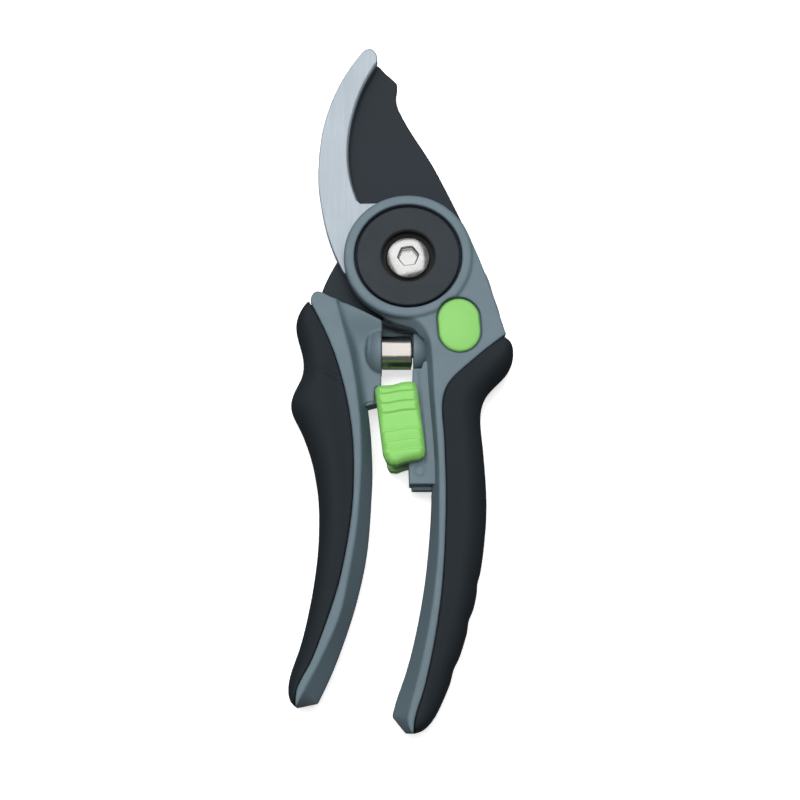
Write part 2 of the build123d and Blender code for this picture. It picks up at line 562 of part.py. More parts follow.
with BuildPart() as right_spring_cup:
    with BuildSketch(Plane.YZ.offset(1.5)):
        with Locations((SPRING_Y, SPRING_Z)):
            Circle(5.4)
    extrude(amount=2.95)
    with BuildSketch(Plane.YZ.offset(1.5)):
        with Locations((SPRING_Y, SPRING_Z)):
            Circle(1.6)
    extrude(amount=-2.2)
right_spring_cup.part.label = "right_spring_cup"
export_step(right_spring_cup.part, "parts/right_spring_cup.step")

# Volute spring, pressed together: a thick-walled barrel
with BuildPart() as volute_spring:
    with BuildSketch(Plane.YZ.offset(SPRING_X0)):
        with Locations((SPRING_Y, SPRING_Z)):
            Circle(SPRING_R)
            Circle(2.2, mode=Mode.SUBTRACT)
    extrude(amount=SPRING_X1 - SPRING_X0)
volute_spring.part.label = "volute_spring"
export_step(volute_spring.part, "parts/volute_spring.step")

# --- slider lock ------------------------------------------------------------------
# Guide rail on the right handle, with an end block and a slot
with BuildPart() as lock_rail:
    with BuildSketch(Plane.XY.offset(6.1)):
        polygon((1.3, -33.4), (4.6, -33.4), (5.1, -41.0), (5.8, -48.5),
                (6.5, -56.0), (6.9, -63.0), (6.8, -68.0), (0.2, -68.0),
                (0.0, -61.8), (-3.2, -61.2), (-6.0, -40.4), (1.1, -39.4))
    extrude(amount=7.8)
    # foot of the end block
    with BuildSketch(Plane.XY.offset(6.1)):
        polygon((0.9, -67.0), (6.8, -67.0), (6.8, -69.2), (0.9, -69.2))
    extrude(amount=3.6)
    with BuildSketch(slider_plane(6.0)):
        with Locations((-0.2, -0.1)):
            SlotOverall(16.8, 4.2, rotation=90)
    extrude(amount=9.0, mode=Mode.SUBTRACT)
    # pocket for the detent leaf, open to the slot
    with BuildSketch(slider_plane(8.2)):
        with Locations((2.4, 1.0)):
            Rectangle(1.8, 12.6)
    extrude(amount=3.6, mode=Mode.SUBTRACT)
lock_rail.part.label = "lock_rail"
export_step(lock_rail.part, "parts/lock_rail.step")

SLIDER_OUTLINE = [slider_point(a, b) for a, b in [
    (-6.2, 10.8), (-5.9, 11.8), (-5.1, 12.4), (-3.0, 12.35), (-1.1, 12.2),
    (1.9, 12.7), (4.6, 12.6),
    (5.7, 11.8), (6.15, 10.2), (6.2, 5.0), (6.2, -5.0), (6.2, -8.4),
    (5.6, -10.0), (4.2, -10.7), (1.7, -10.8), (-0.6, -11.1), (-2.6, -11.6),
    (-4.4, -11.2), (-5.6, -9.9), (-6.2, -7.8), (-6.2, -3.0), (-6.2, 3.0),
    (-6.2, 9.0)]]
with BuildPart() as lock_slider:
    with BuildSketch(Plane.XY.offset(14.2)):
        with BuildLine():
            Polyline(*SLIDER_OUTLINE, close=True)
        make_face()
    extrude(amount=4.8)
    chamfer(lock_slider.faces().sort_by(Axis.Z)[-1].edges(), 0.6)
    # bridge through the rail's slot
    with BuildSketch(slider_plane(6.2)):
        with Locations((-0.2, 3.4)):
            SlotOverall(9.0, 3.6, rotation=90)
    extrude(amount=8.0)
    # nose over the tongue
    with BuildSketch(Plane.XY.offset(13.2)):
        polygon((-9.5, -42.4), (-7.4, -42.4), (-7.4, -40.0), (-9.5, -40.0))
    extrude(amount=1.2)
    # screw holes from the rear
    with BuildSketch(slider_plane(6.0)):
        with Locations((-0.2, 1.0), (-0.2, 5.8)):
            Circle(0.8)
    extrude(amount=9.0, mode=Mode.SUBTRACT)
lock_slider.part.label = "lock_slider"
export_step(lock_slider.part, "parts/lock_slider.step")

with BuildPart() as slider_rear:
    with BuildSketch(Plane.XY.offset(1.0)):
        with BuildLine():
            Polyline(*SLIDER_OUTLINE, close=True)
        make_face()
    extrude(amount=4.8)
    chamfer(slider_rear.faces().sort_by(Axis.Z)[0].edges(), 0.6)
    with BuildSketch(slider_plane(0.0)):
        with Locations((-0.2, 1.0), (-0.2, 5.8)):
            Circle(1.7)
    extrude(amount=2.6, mode=Mode.SUBTRACT)
    with BuildSketch(slider_plane(0.0)):
        with Locations((-0.2, 1.0), (-0.2, 5.8)):
            Circle(0.9)
    extrude(amount=8.0, mode=Mode.SUBTRACT)
slider_rear.part.label = "slider_rear"
export_step(slider_rear.part, "parts/slider_rear.step")

with BuildPart() as slider_screws:
    with BuildSketch(slider_plane(1.2)):
        with Locations((-0.2, 1.0), (-0.2, 5.8)):
            Circle(1.6)
    extrude(amount=1.4)
    with BuildSketch(slider_plane(2.6)):
        with Locations((-0.2, 1.0), (-0.2, 5.8)):
            Circle(0.8)
    extrude(amount=9.0)
slider_screws.part.label = "slider_screws"
export_step(slider_screws.part, "parts/slider_screws.step")

# Bent leaf that holds the slider at either end of its travel
with BuildPart() as detent_spring:
    with BuildSketch(slider_plane(8.4)):
        with Locations((2.9, 1.0)):
            Rectangle(0.5, 12.0)
    extrude(amount=3.2)
detent_spring.part.label = "detent_spring"
export_step(detent_spring.part, "parts/detent_spring.step")

# --- screws that join the handle halves, driven from the rear ---------------------
with BuildPart() as right_shell_screws:
    with BuildSketch(Plane.XY.offset(BACK_Z + 0.2)):
        with Locations(*R_SCREWS):
            Circle(SCREW_HEAD_R)
    extrude(amount=1.5)
    with BuildSketch(Plane.XY.offset(BACK_Z + 1.7)):
        with Locations(*R_SCREWS):
            Circle(SCREW_R)
    extrude(amount=11.0)
right_shell_screws.part.label = "right_shell_screws"
export_step(right_shell_screws.part, "parts/right_shell_screws.step")

with BuildPart() as left_shell_screws:
    with BuildSketch(Plane.XY.offset(BACK_Z + 0.2)):
        with Locations(*L_SCREWS):
            Circle(SCREW_HEAD_R)
    extrude(amount=1.5)
    with BuildSketch(Plane.XY.offset(BACK_Z + 1.7)):
        with Locations(*L_SCREWS):
            Circle(SCREW_R)
    extrude(amount=10.0)
left_shell_screws.part.label = "left_shell_screws"
export_step(left_shell_screws.part, "parts/left_shell_screws.step")
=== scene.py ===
import math

import bpy
import numpy as np
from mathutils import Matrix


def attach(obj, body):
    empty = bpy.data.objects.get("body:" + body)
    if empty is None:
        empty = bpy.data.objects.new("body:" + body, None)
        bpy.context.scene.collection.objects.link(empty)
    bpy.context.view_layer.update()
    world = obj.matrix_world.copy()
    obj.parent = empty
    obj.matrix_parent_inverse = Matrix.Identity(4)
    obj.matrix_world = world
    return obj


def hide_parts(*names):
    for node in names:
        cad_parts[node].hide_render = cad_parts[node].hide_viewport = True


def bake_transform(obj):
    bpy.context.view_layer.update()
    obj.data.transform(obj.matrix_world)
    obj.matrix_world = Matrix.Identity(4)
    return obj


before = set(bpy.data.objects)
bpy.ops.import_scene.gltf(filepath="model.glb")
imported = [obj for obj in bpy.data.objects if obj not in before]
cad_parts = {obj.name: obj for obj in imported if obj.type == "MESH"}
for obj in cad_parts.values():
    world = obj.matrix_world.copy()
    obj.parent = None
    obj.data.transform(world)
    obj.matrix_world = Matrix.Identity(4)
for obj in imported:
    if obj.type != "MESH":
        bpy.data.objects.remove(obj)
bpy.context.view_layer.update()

# ---------------------------------------------------------------------------
# Bypass pruning shears. Every length below is in millimetres and becomes
# metres when a mesh is made. The outlines are the CAD's own plan outlines.
# ---------------------------------------------------------------------------
HOOK_OUTER = [(-14.9, 67.7), (-18.2, 62.9), (-21.0, 57.9), (-23.3, 52.6),
              (-25.1, 47.1), (-26.4, 41.4), (-27.1, 35.7), (-27.4, 29.9),
              (-27.3, 24.1), (-26.6, 18.4), (-25.5, 12.7), (-24.0, 7.1),
              (-22.0, 1.7), (-19.5, -3.6)]
HOOK_INNER = [(-9.9, 64.3), (-12.4, 59.7), (-14.5, 55.0), (-16.1, 50.0),
              (-17.3, 45.0), (-18.0, 39.8), (-18.2, 34.6), (-17.8, 29.5),
              (-16.8, 24.4), (-15.2, 19.6)]
HOOK_TIP = [(-9.9, 64.3), (-9.5, 66.4), (-10.0, 68.3), (-11.4, 69.7),
            (-13.1, 69.5), (-14.9, 67.7)]
HOOK_TANG = [(21.9, -1.9), (23.4, -4.2), (25.5, -10.8), (27.5, -18.4),
             (27.4, -20.6), (25.0, -25.2), (20.2, -29.4), (15.2, -34.2),
             (10.6, -39.4), (9.2, -46.0), (9.4, -60.0), (8.9, -62.5),
             (8.0, -60.0), (7.2, -46.0), (6.4, -34.0), (5.8, -28.5),
             (5.3, -24.6), (3.8, -21.9), (-1.6, -20.0), (-7.6, -17.3)]
BLADE_EDGE = [(-10.1, 66.0), (-13.6, 60.6), (-16.6, 54.2), (-18.6, 47.4),
              (-19.9, 40.0), (-20.3, 33.0), (-19.7, 26.0), (-18.5, 19.5),
              (-17.3, 13.0)]
BLADE_POINT = [(-10.1, 66.0), (-9.5, 65.8), (-7.7, 64.0), (-5.7, 62.0),
               (-4.3, 60.7)]
BLADE_HEEL = [(-4.3, 60.7), (-3.4, 59.6), (-3.3, 58.2), (-3.6, 56.0),
              (-3.6, 53.6), (-2.9, 50.8)]
BLADE_SPINE = [(-2.9, 50.8), (0.1, 44.9), (3.9, 38.6), (7.4, 32.7),
               (10.6, 26.4), (13.6, 20.1), (16.5, 13.8)]
BLADE_TANG = [(-18.4, 7.0), (-21.4, 1.2), (-23.3, -2.3), (-25.1, -6.1),
              (-26.3, -9.9), (-26.4, -13.5), (-24.4, -19.0), (-21.4, -26.5),
              (-18.9, -34.0), (-17.0, -42.0), (-15.6, -50.5), (-15.0, -57.0),
              (-14.2, -59.5), (-13.3, -57.0), (-13.6, -50.5), (-14.4, -42.0),
              (-14.6, -34.0), (-14.2, -27.0), (-13.6, -21.8), (-11.0, -19.3),
              (-7.0, -16.0)]

# right handle: inner wall, inner edge of the front face, line to the grip
R_WALL = [(-8.2, -17.4), (-5.0, -19.5), (-1.4, -20.7), (1.6, -21.8),
          (3.3, -23.8), (4.2, -26.8), (4.5, -30.4), (4.7, -34.4),
          (5.2, -41.0), (5.9, -48.5), (6.6, -56.0), (7.0, -63.0),
          (6.8, -70.5), (6.4, -78.4), (5.8, -86.0), (5.0, -93.5),
          (3.9, -100.9), (2.5, -108.3), (0.8, -115.7), (-1.3, -122.9),
          (-3.8, -130.0), (-4.6, -133.0)]
R_FACE = [(-7.4, -16.6), (-4.6, -18.0), (-1.6, -18.4), (1.2, -19.2),
          (3.7, -20.9), (5.4, -23.4), (6.4, -26.6), (6.9, -31.0),
          (7.2, -38.0), (7.7, -46.0), (8.2, -54.0), (8.6, -62.0),
          (8.7, -70.5), (8.6, -78.4), (8.4, -86.0), (7.8, -93.5),
          (6.9, -100.9), (5.7, -108.3), (4.2, -115.7), (2.5, -122.9),
          (0.6, -130.0), (-0.4, -134.0)]
R_SEAM = [(1.3, -138.2), (1.6, -134.8), (3.6, -128.2), (5.4, -121.6),
          (6.9, -114.8), (8.1, -108.0), (9.1, -101.2), (9.8, -94.3),
          (10.3, -87.4), (10.6, -80.5), (10.8, -73.6), (10.8, -66.7),
          (10.6, -59.8), (10.3, -52.9), (9.9, -46.5), (11.3, -39.8),
          (16.2, -34.3), (21.4, -29.8), (26.4, -25.8), (28.8, -24.0)]
R_OUTER = [(28.8, -24.0), (30.6, -25.6), (31.3, -29.0), (29.9, -33.5),
           (26.4, -37.5), (23.0, -41.5), (21.4, -46.5), (21.4, -51.9),
           (21.9, -57.3), (22.3, -62.7), (22.6, -68.1), (22.7, -73.5),
           (22.5, -78.8), (22.0, -84.2), (21.3, -89.6), (20.4, -94.9),
           (19.4, -100.2), (18.1, -105.4), (16.6, -110.6), (15.0, -115.7),
           (13.2, -120.8), (11.2, -125.8), (9.0, -130.7), (6.2, -135.3),
           (3.4, -137.6), (1.3, -138.2)]
SHOULDER = [(28.8, -24.0), (26.9, -17.8), (24.7, -10.5), (22.2, -3.3),
            (19.4, 3.8), (16.3, 10.4)]

# left handle
L_TOP = [(-28.9, -12.6), (-28.2, -11.3), (-27.2, -10.7), (-26.1, -10.8),
         (-23.1, -12.3), (-18.7, -13.6), (-14.5, -16.2), (-11.9, -17.9),
         (-8.4, -19.9)]
L_INNER = [(-11.8, -45.5), (-11.2, -50.5), (-10.7, -57.5), (-10.5, -64.4),
           (-10.8, -72.6), (-11.3, -80.9), (-12.2, -89.1), (-13.8, -97.2),
           (-15.9, -105.2), (-18.5, -113.1), (-21.4, -120.8),
           (-24.7, -128.0), (-25.7, -130.0)]
L_VALLEY = [(-16.7, -14.1), (-15.6, -22.0), (-14.3, -29.0), (-12.9, -37.0),
            (-11.8, -45.5)]
L_FACE = [(-21.2, -13.2), (-19.7, -19.5), (-17.8, -26.5), (-15.8, -35.5),
          (-14.4, -45.5), (-13.9, -50.5), (-13.6, -57.5), (-13.6, -64.4),
          (-14.0, -72.6), (-14.7, -80.9), (-15.9, -89.1), (-17.3, -97.2),
          (-19.1, -105.2), (-22.2, -113.1), (-25.9, -120.8),
          (-29.2, -127.0), (-30.2, -129.0)]
L_SEAM = [(-31.3, -131.2), (-31.2, -126.8), (-27.9, -119.8),
          (-24.9, -112.6), (-22.3, -105.2), (-20.0, -97.7),
          (-18.3, -90.1), (-17.0, -82.4), (-16.1, -74.7), (-15.8, -66.9),
          (-15.9, -59.0), (-16.6, -51.3), (-17.9, -43.6), (-19.8, -36.0),
          (-22.2, -28.6), (-25.3, -21.4), (-28.9, -14.4)]
L_OUTER = [(-28.9, -14.4), (-29.4, -13.1), (-31.0, -14.0), (-32.6, -16.6),
           (-33.5, -19.8), (-32.7, -24.7), (-31.3, -30.0), (-31.5, -35.5),
           (-33.6, -40.2), (-34.6, -45.0), (-32.4, -50.3), (-29.9, -56.0),
           (-28.2, -61.2), (-27.0, -66.7), (-26.2, -72.1), (-25.9, -77.7),
           (-25.9, -83.2), (-26.2, -88.8), (-26.8, -94.3), (-27.6, -99.8),
           (-28.6, -105.2), (-29.8, -110.7), (-31.3, -116.0),
           (-33.1, -121.2), (-33.9, -126.2), (-33.0, -129.6),
           (-31.3, -131.2)]

# places of the screws that join the halves of each handle
R_SCREWS = [(21.0, -20.5), (10.5, -32.0), (8.7, -70.0), (6.7, -100.0)]
L_SCREWS = [(-19.4, -21.5), (-13.2, -66.0), (-15.8, -92.0)]
SCREW_R, SCREW_HEAD_R = 1.1, 1.9

# --- curves ----------------------------------------------------------------
def spline(points, step=0.6):
    """Points along a natural cubic through the given points."""
    p = np.array(points, float)
    if len(p) < 4:
        return p
    t = np.r_[0, np.cumsum(np.hypot(*np.diff(p, axis=0).T))]
    n = len(p)
    h = np.diff(t)
    a = np.eye(n)
    b = np.zeros((n, 2))
    for i in range(1, n - 1):
        a[i, i - 1:i + 2] = h[i - 1], 2 * (h[i - 1] + h[i]), h[i]
        b[i] = 6 * ((p[i + 1] - p[i]) / h[i] - (p[i] - p[i - 1]) / h[i - 1])
    m = np.linalg.solve(a, b)
    u = np.linspace(0, t[-1], max(int(t[-1] / step), n) + 1)
    k = np.clip(np.searchsorted(t, u, side="right") - 1, 0, n - 2)
    d = h[k][:, None]
    x = (u - t[k])[:, None]
    y = d - x
    return (m[k] * y ** 3 + m[k + 1] * x ** 3) / (6 * d) \
        + (p[k] / d - m[k] * d / 6) * y + (p[k + 1] / d - m[k + 1] * d / 6) * x


def loop(*runs):
    """Closed outline: a run of more than three points is a smooth curve."""
    out = []
    for r in runs:
        out.extend(spline(r).tolist())
    keep = [out[0]]
    for q in out[1:]:
        if math.dist(q, keep[-1]) > 1e-3:
            keep.append(q)
    return keep


# --- distance fields on a grid ------------------------------------------------
class Grid:
    def __init__(self, lo, hi, step):
        ax = [np.arange(a - 2.5 * s, b + 3.5 * s, s, dtype=np.float64)
              for a, b, s in zip(lo, hi, step)]
        self.ax = ax
        self.step = np.array(step, float)
        self.lo = np.array([a[0] for a in ax])
        self.x = ax[0][:, None]
        self.y = ax[1][None, :]
        self.X = ax[0][:, None, None]
        self.Y = ax[1][None, :, None]
        self.Z = ax[2][None, None, :]


def sd(g, outline, flip=False):
    """Signed distance in plan to a closed outline, negative inside."""
    p = np.asarray(outline, float)
    q = np.roll(p, -1, 0)
    shape = (len(g.ax[0]), len(g.ax[1]))
    x = np.broadcast_to(g.x, shape)
    y = np.broadcast_to(g.y, shape)
    near = np.full(shape, 1e9)
    inside = np.zeros(shape, bool)
    for (ax, ay), (bx, by) in zip(p, q):
        ex, ey = bx - ax, by - ay
        ll = ex * ex + ey * ey
        if ll < 1e-9:
            continue
        wx, wy = x - ax, y - ay
        t = np.clip((wx * ex + wy * ey) / ll, 0, 1)
        dx, dy = wx - ex * t, wy - ey * t
        np.minimum(near, dx * dx + dy * dy, out=near)
        if (ay > by) or (ay < by):
            c = (ay > y) != (by > y)
            inside ^= c & (wx < wy * (ex / ey))
    return np.sqrt(near) * np.where(inside, -1.0, 1.0)


def near(g, line):
    """Plain distance in plan to an open line."""
    p = np.asarray(line, float)
    shape = (len(g.ax[0]), len(g.ax[1]))
    best = np.full(shape, 1e9)
    for (ax, ay), (bx, by) in zip(p[:-1], p[1:]):
        ex, ey = bx - ax, by - ay
        ll = max(ex * ex + ey * ey, 1e-9)
        wx, wy = g.x - ax, g.y - ay
        t = np.clip((wx * ex + wy * ey) / ll, 0, 1)
        dx, dy = wx - ex * t, wy - ey * t
        np.minimum(best, dx * dx + dy * dy, out=best)
    return np.sqrt(best)


def smax(a, b, k):
    if k <= 0:
        return np.maximum(a, b)
    h = np.maximum(k - np.abs(a - b), 0.0)
    return np.maximum(a, b) + h * h / (4 * k)


def smin(a, b, k):
    return -smax(-a, -b, k)


def ease(t):
    t = np.clip(t, 0, 1)
    return t * t * (3 - 2 * t)


def lerp(a, b, t):
    return a + (b - a) * t


CORNERS = np.array([(0, 0, 0), (1, 0, 0), (0, 1, 0), (1, 1, 0),
                    (0, 0, 1), (1, 0, 1), (0, 1, 1), (1, 1, 1)])
EDGES = [(0, 1), (2, 3), (4, 5), (6, 7), (0, 2), (1, 3), (4, 6), (5, 7),
         (0, 4), (1, 5), (2, 6), (3, 7)]


def sample(f, q):
    """Trilinear value of f at grid coordinates q."""
    i = np.clip(np.floor(q).astype(int), 0, np.array(f.shape) - 2)
    r = q - i
    out = 0
    for c in CORNERS:
        w = np.prod(np.where(c, r, 1 - r), axis=1)
        out = out + w * f[i[:, 0] + c[0], i[:, 1] + c[1], i[:, 2] + c[2]]
    return out


def surface(g, f):
    """Quads of the zero surface of f, its points in mm and their normals."""
    s = f < 0
    v = s.view(np.int8)
    count = sum(v[c[0]:v.shape[0] - 1 + c[0], c[1]:v.shape[1] - 1 + c[1],
                  c[2]:v.shape[2] - 1 + c[2]] for c in CORNERS)
    cell = np.argwhere((count > 0) & (count < 8))
    index = np.full(count.shape, -1, np.int64)
    index[cell[:, 0], cell[:, 1], cell[:, 2]] = np.arange(len(cell))
    val = [f[cell[:, 0] + c[0], cell[:, 1] + c[1], cell[:, 2] + c[2]]
           for c in CORNERS]
    total = np.zeros((len(cell), 3))
    hits = np.zeros(len(cell))
    for a, b in EDGES:
        cross = (val[a] < 0) != (val[b] < 0)
        t = np.where(cross, val[a] / np.where(cross, val[a] - val[b], 1), 0)
        total += np.where(cross[:, None], CORNERS[a]
                          + (CORNERS[b] - CORNERS[a]) * t[:, None], 0)
        hits += cross
    q = cell + total / hits[:, None]
    grad = np.gradient(f, *g.step)
    for _ in range(2):
        n = np.stack([sample(d, q) for d in grad], 1)
        n2 = np.maximum((n * n).sum(1), 0.05)
        move = -(sample(f, q) / n2)[:, None] * n / g.step
        q = np.clip(q + np.clip(move, -0.3, 0.3), cell - 0.1, cell + 1.1)
    n = np.stack([sample(d, q) for d in grad], 1)
    n /= np.maximum(np.linalg.norm(n, axis=1), 1e-9)[:, None]
    quads = []
    for axis in range(3):
        o1, o2 = (axis + 1) % 3, (axis + 2) % 3
        lo = [slice(None)] * 3
        hi = [slice(None)] * 3
        lo[axis], hi[axis] = slice(0, -1), slice(1, None)
        for o in (o1, o2):
            lo[o] = hi[o] = slice(1, -1)
        s0, s1 = s[tuple(lo)], s[tuple(hi)]
        e = np.argwhere(s0 != s1)
        into = s0[e[:, 0], e[:, 1], e[:, 2]]
        base = e.copy()
        base[:, o1] += 1
        base[:, o2] += 1
        ring = []
        for d1, d2 in ((-1, -1), (0, -1), (0, 0), (-1, 0)):
            c = base.copy()
            c[:, o1] += d1
            c[:, o2] += d2
            ring.append(index[c[:, 0], c[:, 1], c[:, 2]])
        ring = np.stack(ring, 1)
        quads.append(np.where(into[:, None], ring, ring[:, ::-1]))
    return g.lo + q * g.step, n, np.concatenate(quads)


def largest(points, normals, quads):
    """Only the biggest connected part of a surface, so nothing stray stays."""
    label = np.arange(len(points))
    while True:
        low = label[quads].min(1)
        new = label.copy()
        for c in range(4):
            np.minimum.at(new, quads[:, c], low)
        new = new[new]
        if (new == label).all():
            break
        label = new
    names, counts = np.unique(label[quads[:, 0]], return_counts=True)
    keep = label == names[counts.argmax()]
    renum = np.cumsum(keep) - 1
    return points[keep], normals[keep], renum[quads[keep[quads[:, 0]]]]


def make(name, points, faces, mat, body, normals=None, cad=(),
         smooth=True, free=False):
    me = bpy.data.meshes.new(name)
    pts = np.asarray(points, float) * 0.001
    faces = faces.tolist() if isinstance(faces, np.ndarray) else faces
    me.from_pydata(pts.tolist(), [], faces)
    me.validate()
    me.polygons.foreach_set("use_smooth", [smooth] * len(me.polygons))
    me.materials.append(mat)
    if normals is not None and len(me.vertices) == len(pts):
        me.normals_split_custom_set_from_vertices(np.asarray(normals).tolist())
    me.update()
    ob = bpy.data.objects.new(name, me)
    bpy.context.scene.collection.objects.link(ob)
    if cad:
        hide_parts(*cad)
    if not free:
        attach(ob, body)
    return ob


def solid(name, g, f, mat, body, cad=(), place=None, parts=1):
    points, normals, quads = surface(g, f)
    if parts == 1:
        points, normals, quads = largest(points, normals, quads)
    if place is not None:
        points, normals = place(points), place(normals, True)
    return make(name, points, quads, mat, body, normals, cad)


def lathe(profile, steps=160, centre=(0.0, 0.0)):
    """Closed profile (r, z) turned round the z axis."""
    pts, faces = [], []
    n = len(profile)
    for i in range(steps):
        a = 2 * math.pi * i / steps
        pts += [(centre[0] + r * math.cos(a), centre[1] + r * math.sin(a), z)
                for r, z in profile]
    for i in range(steps):
        j = (i + 1) % steps
        for k in range(n):
            m = (k + 1) % n
            faces.append((i * n + k, j * n + k, j * n + m, i * n + m))
    return pts, faces


def rounded(profile, spec):
    """Profile with some corners rounded: spec gives each corner's radius."""
    out = []
    n = len(profile)
    for i, (p, r) in enumerate(zip(profile, spec)):
        p = np.array(p, float)
        if r <= 0:
            out.append(tuple(p))
            continue
        a = np.array(profile[i - 1], float) - p
        b = np.array(profile[(i + 1) % n], float) - p
        a /= np.linalg.norm(a)
        b /= np.linalg.norm(b)
        half = 0.5 * math.acos(max(-1, min(1, float(a @ b))))
        t = r / math.tan(half)
        c = p + (a + b) / np.linalg.norm(a + b) * (r / math.sin(half))
        s, e = p + a * t - c, p + b * t - c
        a0, a1 = math.atan2(s[1], s[0]), math.atan2(e[1], e[0])
        d = (a1 - a0 + math.pi) % (2 * math.pi) - math.pi
        for k in range(7):
            w = a0 + d * k / 6
            out.append((c[0] + r * math.cos(w), c[1] + r * math.sin(w)))
    return out


# --- materials ----------------------------------------------------------------
def start(name):
    m = bpy.data.materials.new(name)
    m.use_nodes = True
    nt = m.node_tree
    return m, nt, nt.nodes["Principled BSDF"]


def coords(nt, stretch=(1, 1, 1), turn=0.0):
    tc = nt.nodes.new("ShaderNodeTexCoord")
    mp = nt.nodes.new("ShaderNodeMapping")
    mp.inputs["Scale"].default_value = stretch
    mp.inputs["Rotation"].default_value = (0, 0, turn)
    nt.links.new(tc.outputs["Object"], mp.inputs["Vector"])
    return mp.outputs["Vector"]


def noise(nt, vec, scale, detail=3.0, rough=0.55, warp=0.0):
    n = nt.nodes.new("ShaderNodeTexNoise")
    n.inputs["Scale"].default_value = scale
    n.inputs["Detail"].default_value = detail
    n.inputs["Roughness"].default_value = rough
    n.inputs["Distortion"].default_value = warp
    nt.links.new(vec, n.inputs["Vector"])
    return n.outputs["Fac"]


def cells(nt, vec, scale, feature="F1"):
    n = nt.nodes.new("ShaderNodeTexVoronoi")
    n.feature = feature
    n.inputs["Scale"].default_value = scale
    nt.links.new(vec, n.inputs["Vector"])
    return n.outputs["Distance"]


def ramp(nt, fac, *stops):
    r = nt.nodes.new("ShaderNodeValToRGB")
    el = r.color_ramp.elements
    while len(el) < len(stops):
        el.new(0.5)
    for e, (pos, col) in zip(el, stops):
        e.position = pos
        e.color = (*col, 1) if len(col) == 3 else col
    nt.links.new(fac, r.inputs["Fac"])
    return r.outputs["Color"]


def spread(nt, fac, lo, hi, a=0.3, b=0.7):
    r = nt.nodes.new("ShaderNodeMapRange")
    r.inputs["From Min"].default_value = a
    r.inputs["From Max"].default_value = b
    r.inputs["To Min"].default_value = lo
    r.inputs["To Max"].default_value = hi
    nt.links.new(fac, r.inputs["Value"])
    return r.outputs["Result"]


def mixed(nt, fac, a, b):
    m = nt.nodes.new("ShaderNodeMix")
    m.data_type = "RGBA"
    nt.links.new(fac, m.inputs["Factor"])
    for s, v in ((6, a), (7, b)):
        if isinstance(v, tuple):
            m.inputs[s].default_value = (*v, 1)
        else:
            nt.links.new(v, m.inputs[s])
    return m.outputs[2]


def bump(nt, height, strength, depth, under=None):
    b = nt.nodes.new("ShaderNodeBump")
    b.inputs["Strength"].default_value = strength
    b.inputs["Distance"].default_value = depth
    nt.links.new(height, b.inputs["Height"])
    if under is not None:
        nt.links.new(under, b.inputs["Normal"])
    return b.outputs["Normal"]


def rgb(r, g, b):
    """Linear colour of an 8-bit sRGB one."""
    return tuple(((c / 255 + 0.055) / 1.055) ** 2.4 if c > 10 else c / 3295
                 for c in (r, g, b))


def shade(c, k):
    return tuple(min(v * k, 1) for v in c)


def plastic(name, colour, rough=(0.4, 0.5), grain=2600, depth=0.00003,
            strength=0.3, specular=0.5, mottle=0.05, coat=0.0, sheen=0.0):
    """Moulded plastic: soft mottle, fine mould grain, a few faint scuffs."""
    m, nt, b = start(name)
    v = coords(nt)
    big = noise(nt, v, 70, 2.0)
    fine = noise(nt, v, grain, 4.0, 0.6)
    scuff = noise(nt, coords(nt, (1, 0.12, 1), 0.5), 900, 5.0, 0.7, 0.4)
    col = ramp(nt, big, (0.3, shade(colour, 1 - mottle)),
               (0.7, shade(colour, 1 + mottle)))
    rub = ramp(nt, scuff, (0.66, (0, 0, 0)), (0.78, (1, 1, 1)))
    speck = ramp(nt, fine, (0.35, (0, 0, 0)), (0.75, (1, 1, 1)))
    k = nt.nodes.new("ShaderNodeMath")
    k.operation = "MULTIPLY"
    k.inputs[1].default_value = 0.10
    nt.links.new(rub, k.inputs[0])
    col = mixed(nt, k.outputs[0], col, shade(colour, 1.5))
    k2 = nt.nodes.new("ShaderNodeMath")
    k2.operation = "MULTIPLY"
    k2.inputs[1].default_value = 0.16
    nt.links.new(speck, k2.inputs[0])
    col = mixed(nt, k2.outputs[0], col, shade(colour, 0.72))
    nt.links.new(col, b.inputs["Base Color"])
    nt.links.new(spread(nt, noise(nt, v, 220, 3.0), *rough),
                 b.inputs["Roughness"])
    n1 = bump(nt, fine, strength, depth)
    n2 = bump(nt, noise(nt, v, 260, 2.0), 0.15, 0.0001, n1)
    nt.links.new(n2, b.inputs["Normal"])
    b.inputs["Specular IOR Level"].default_value = specular
    if coat:
        b.inputs["Coat Weight"].default_value = coat
        b.inputs["Coat Roughness"].default_value = 0.25
    if sheen:
        b.inputs["Sheen Weight"].default_value = sheen
        b.inputs["Sheen Roughness"].default_value = 0.5
    return m


def rubber(name, colour):
    """Soft moulded grip: leather-fine pebble with matt and rubbed patches."""
    m, nt, b = start(name)
    v = coords(nt)
    pebble = cells(nt, v, 2100)
    fine = noise(nt, v, 5200, 3.0)
    patch = noise(nt, v, 45, 3.0, 0.5, 0.3)
    col = ramp(nt, patch, (0.3, shade(colour, 0.90)),
               (0.55, colour), (0.75, shade(colour, 1.13)))
    pit = ramp(nt, pebble, (0.0, (0, 0, 0)), (0.9, (1, 1, 1)))
    k = nt.nodes.new("ShaderNodeMath")
    k.operation = "MULTIPLY"
    k.inputs[1].default_value = 0.25
    nt.links.new(pit, k.inputs[0])
    col = mixed(nt, k.outputs[0], col, shade(colour, 0.7))
    nt.links.new(col, b.inputs["Base Color"])
    nt.links.new(spread(nt, patch, 0.58, 0.70), b.inputs["Roughness"])
    n1 = bump(nt, pebble, 0.35, 0.00005)
    n2 = bump(nt, fine, 0.2, 0.00002, n1)
    nt.links.new(n2, b.inputs["Normal"])
    b.inputs["Specular IOR Level"].default_value = 0.18
    return m


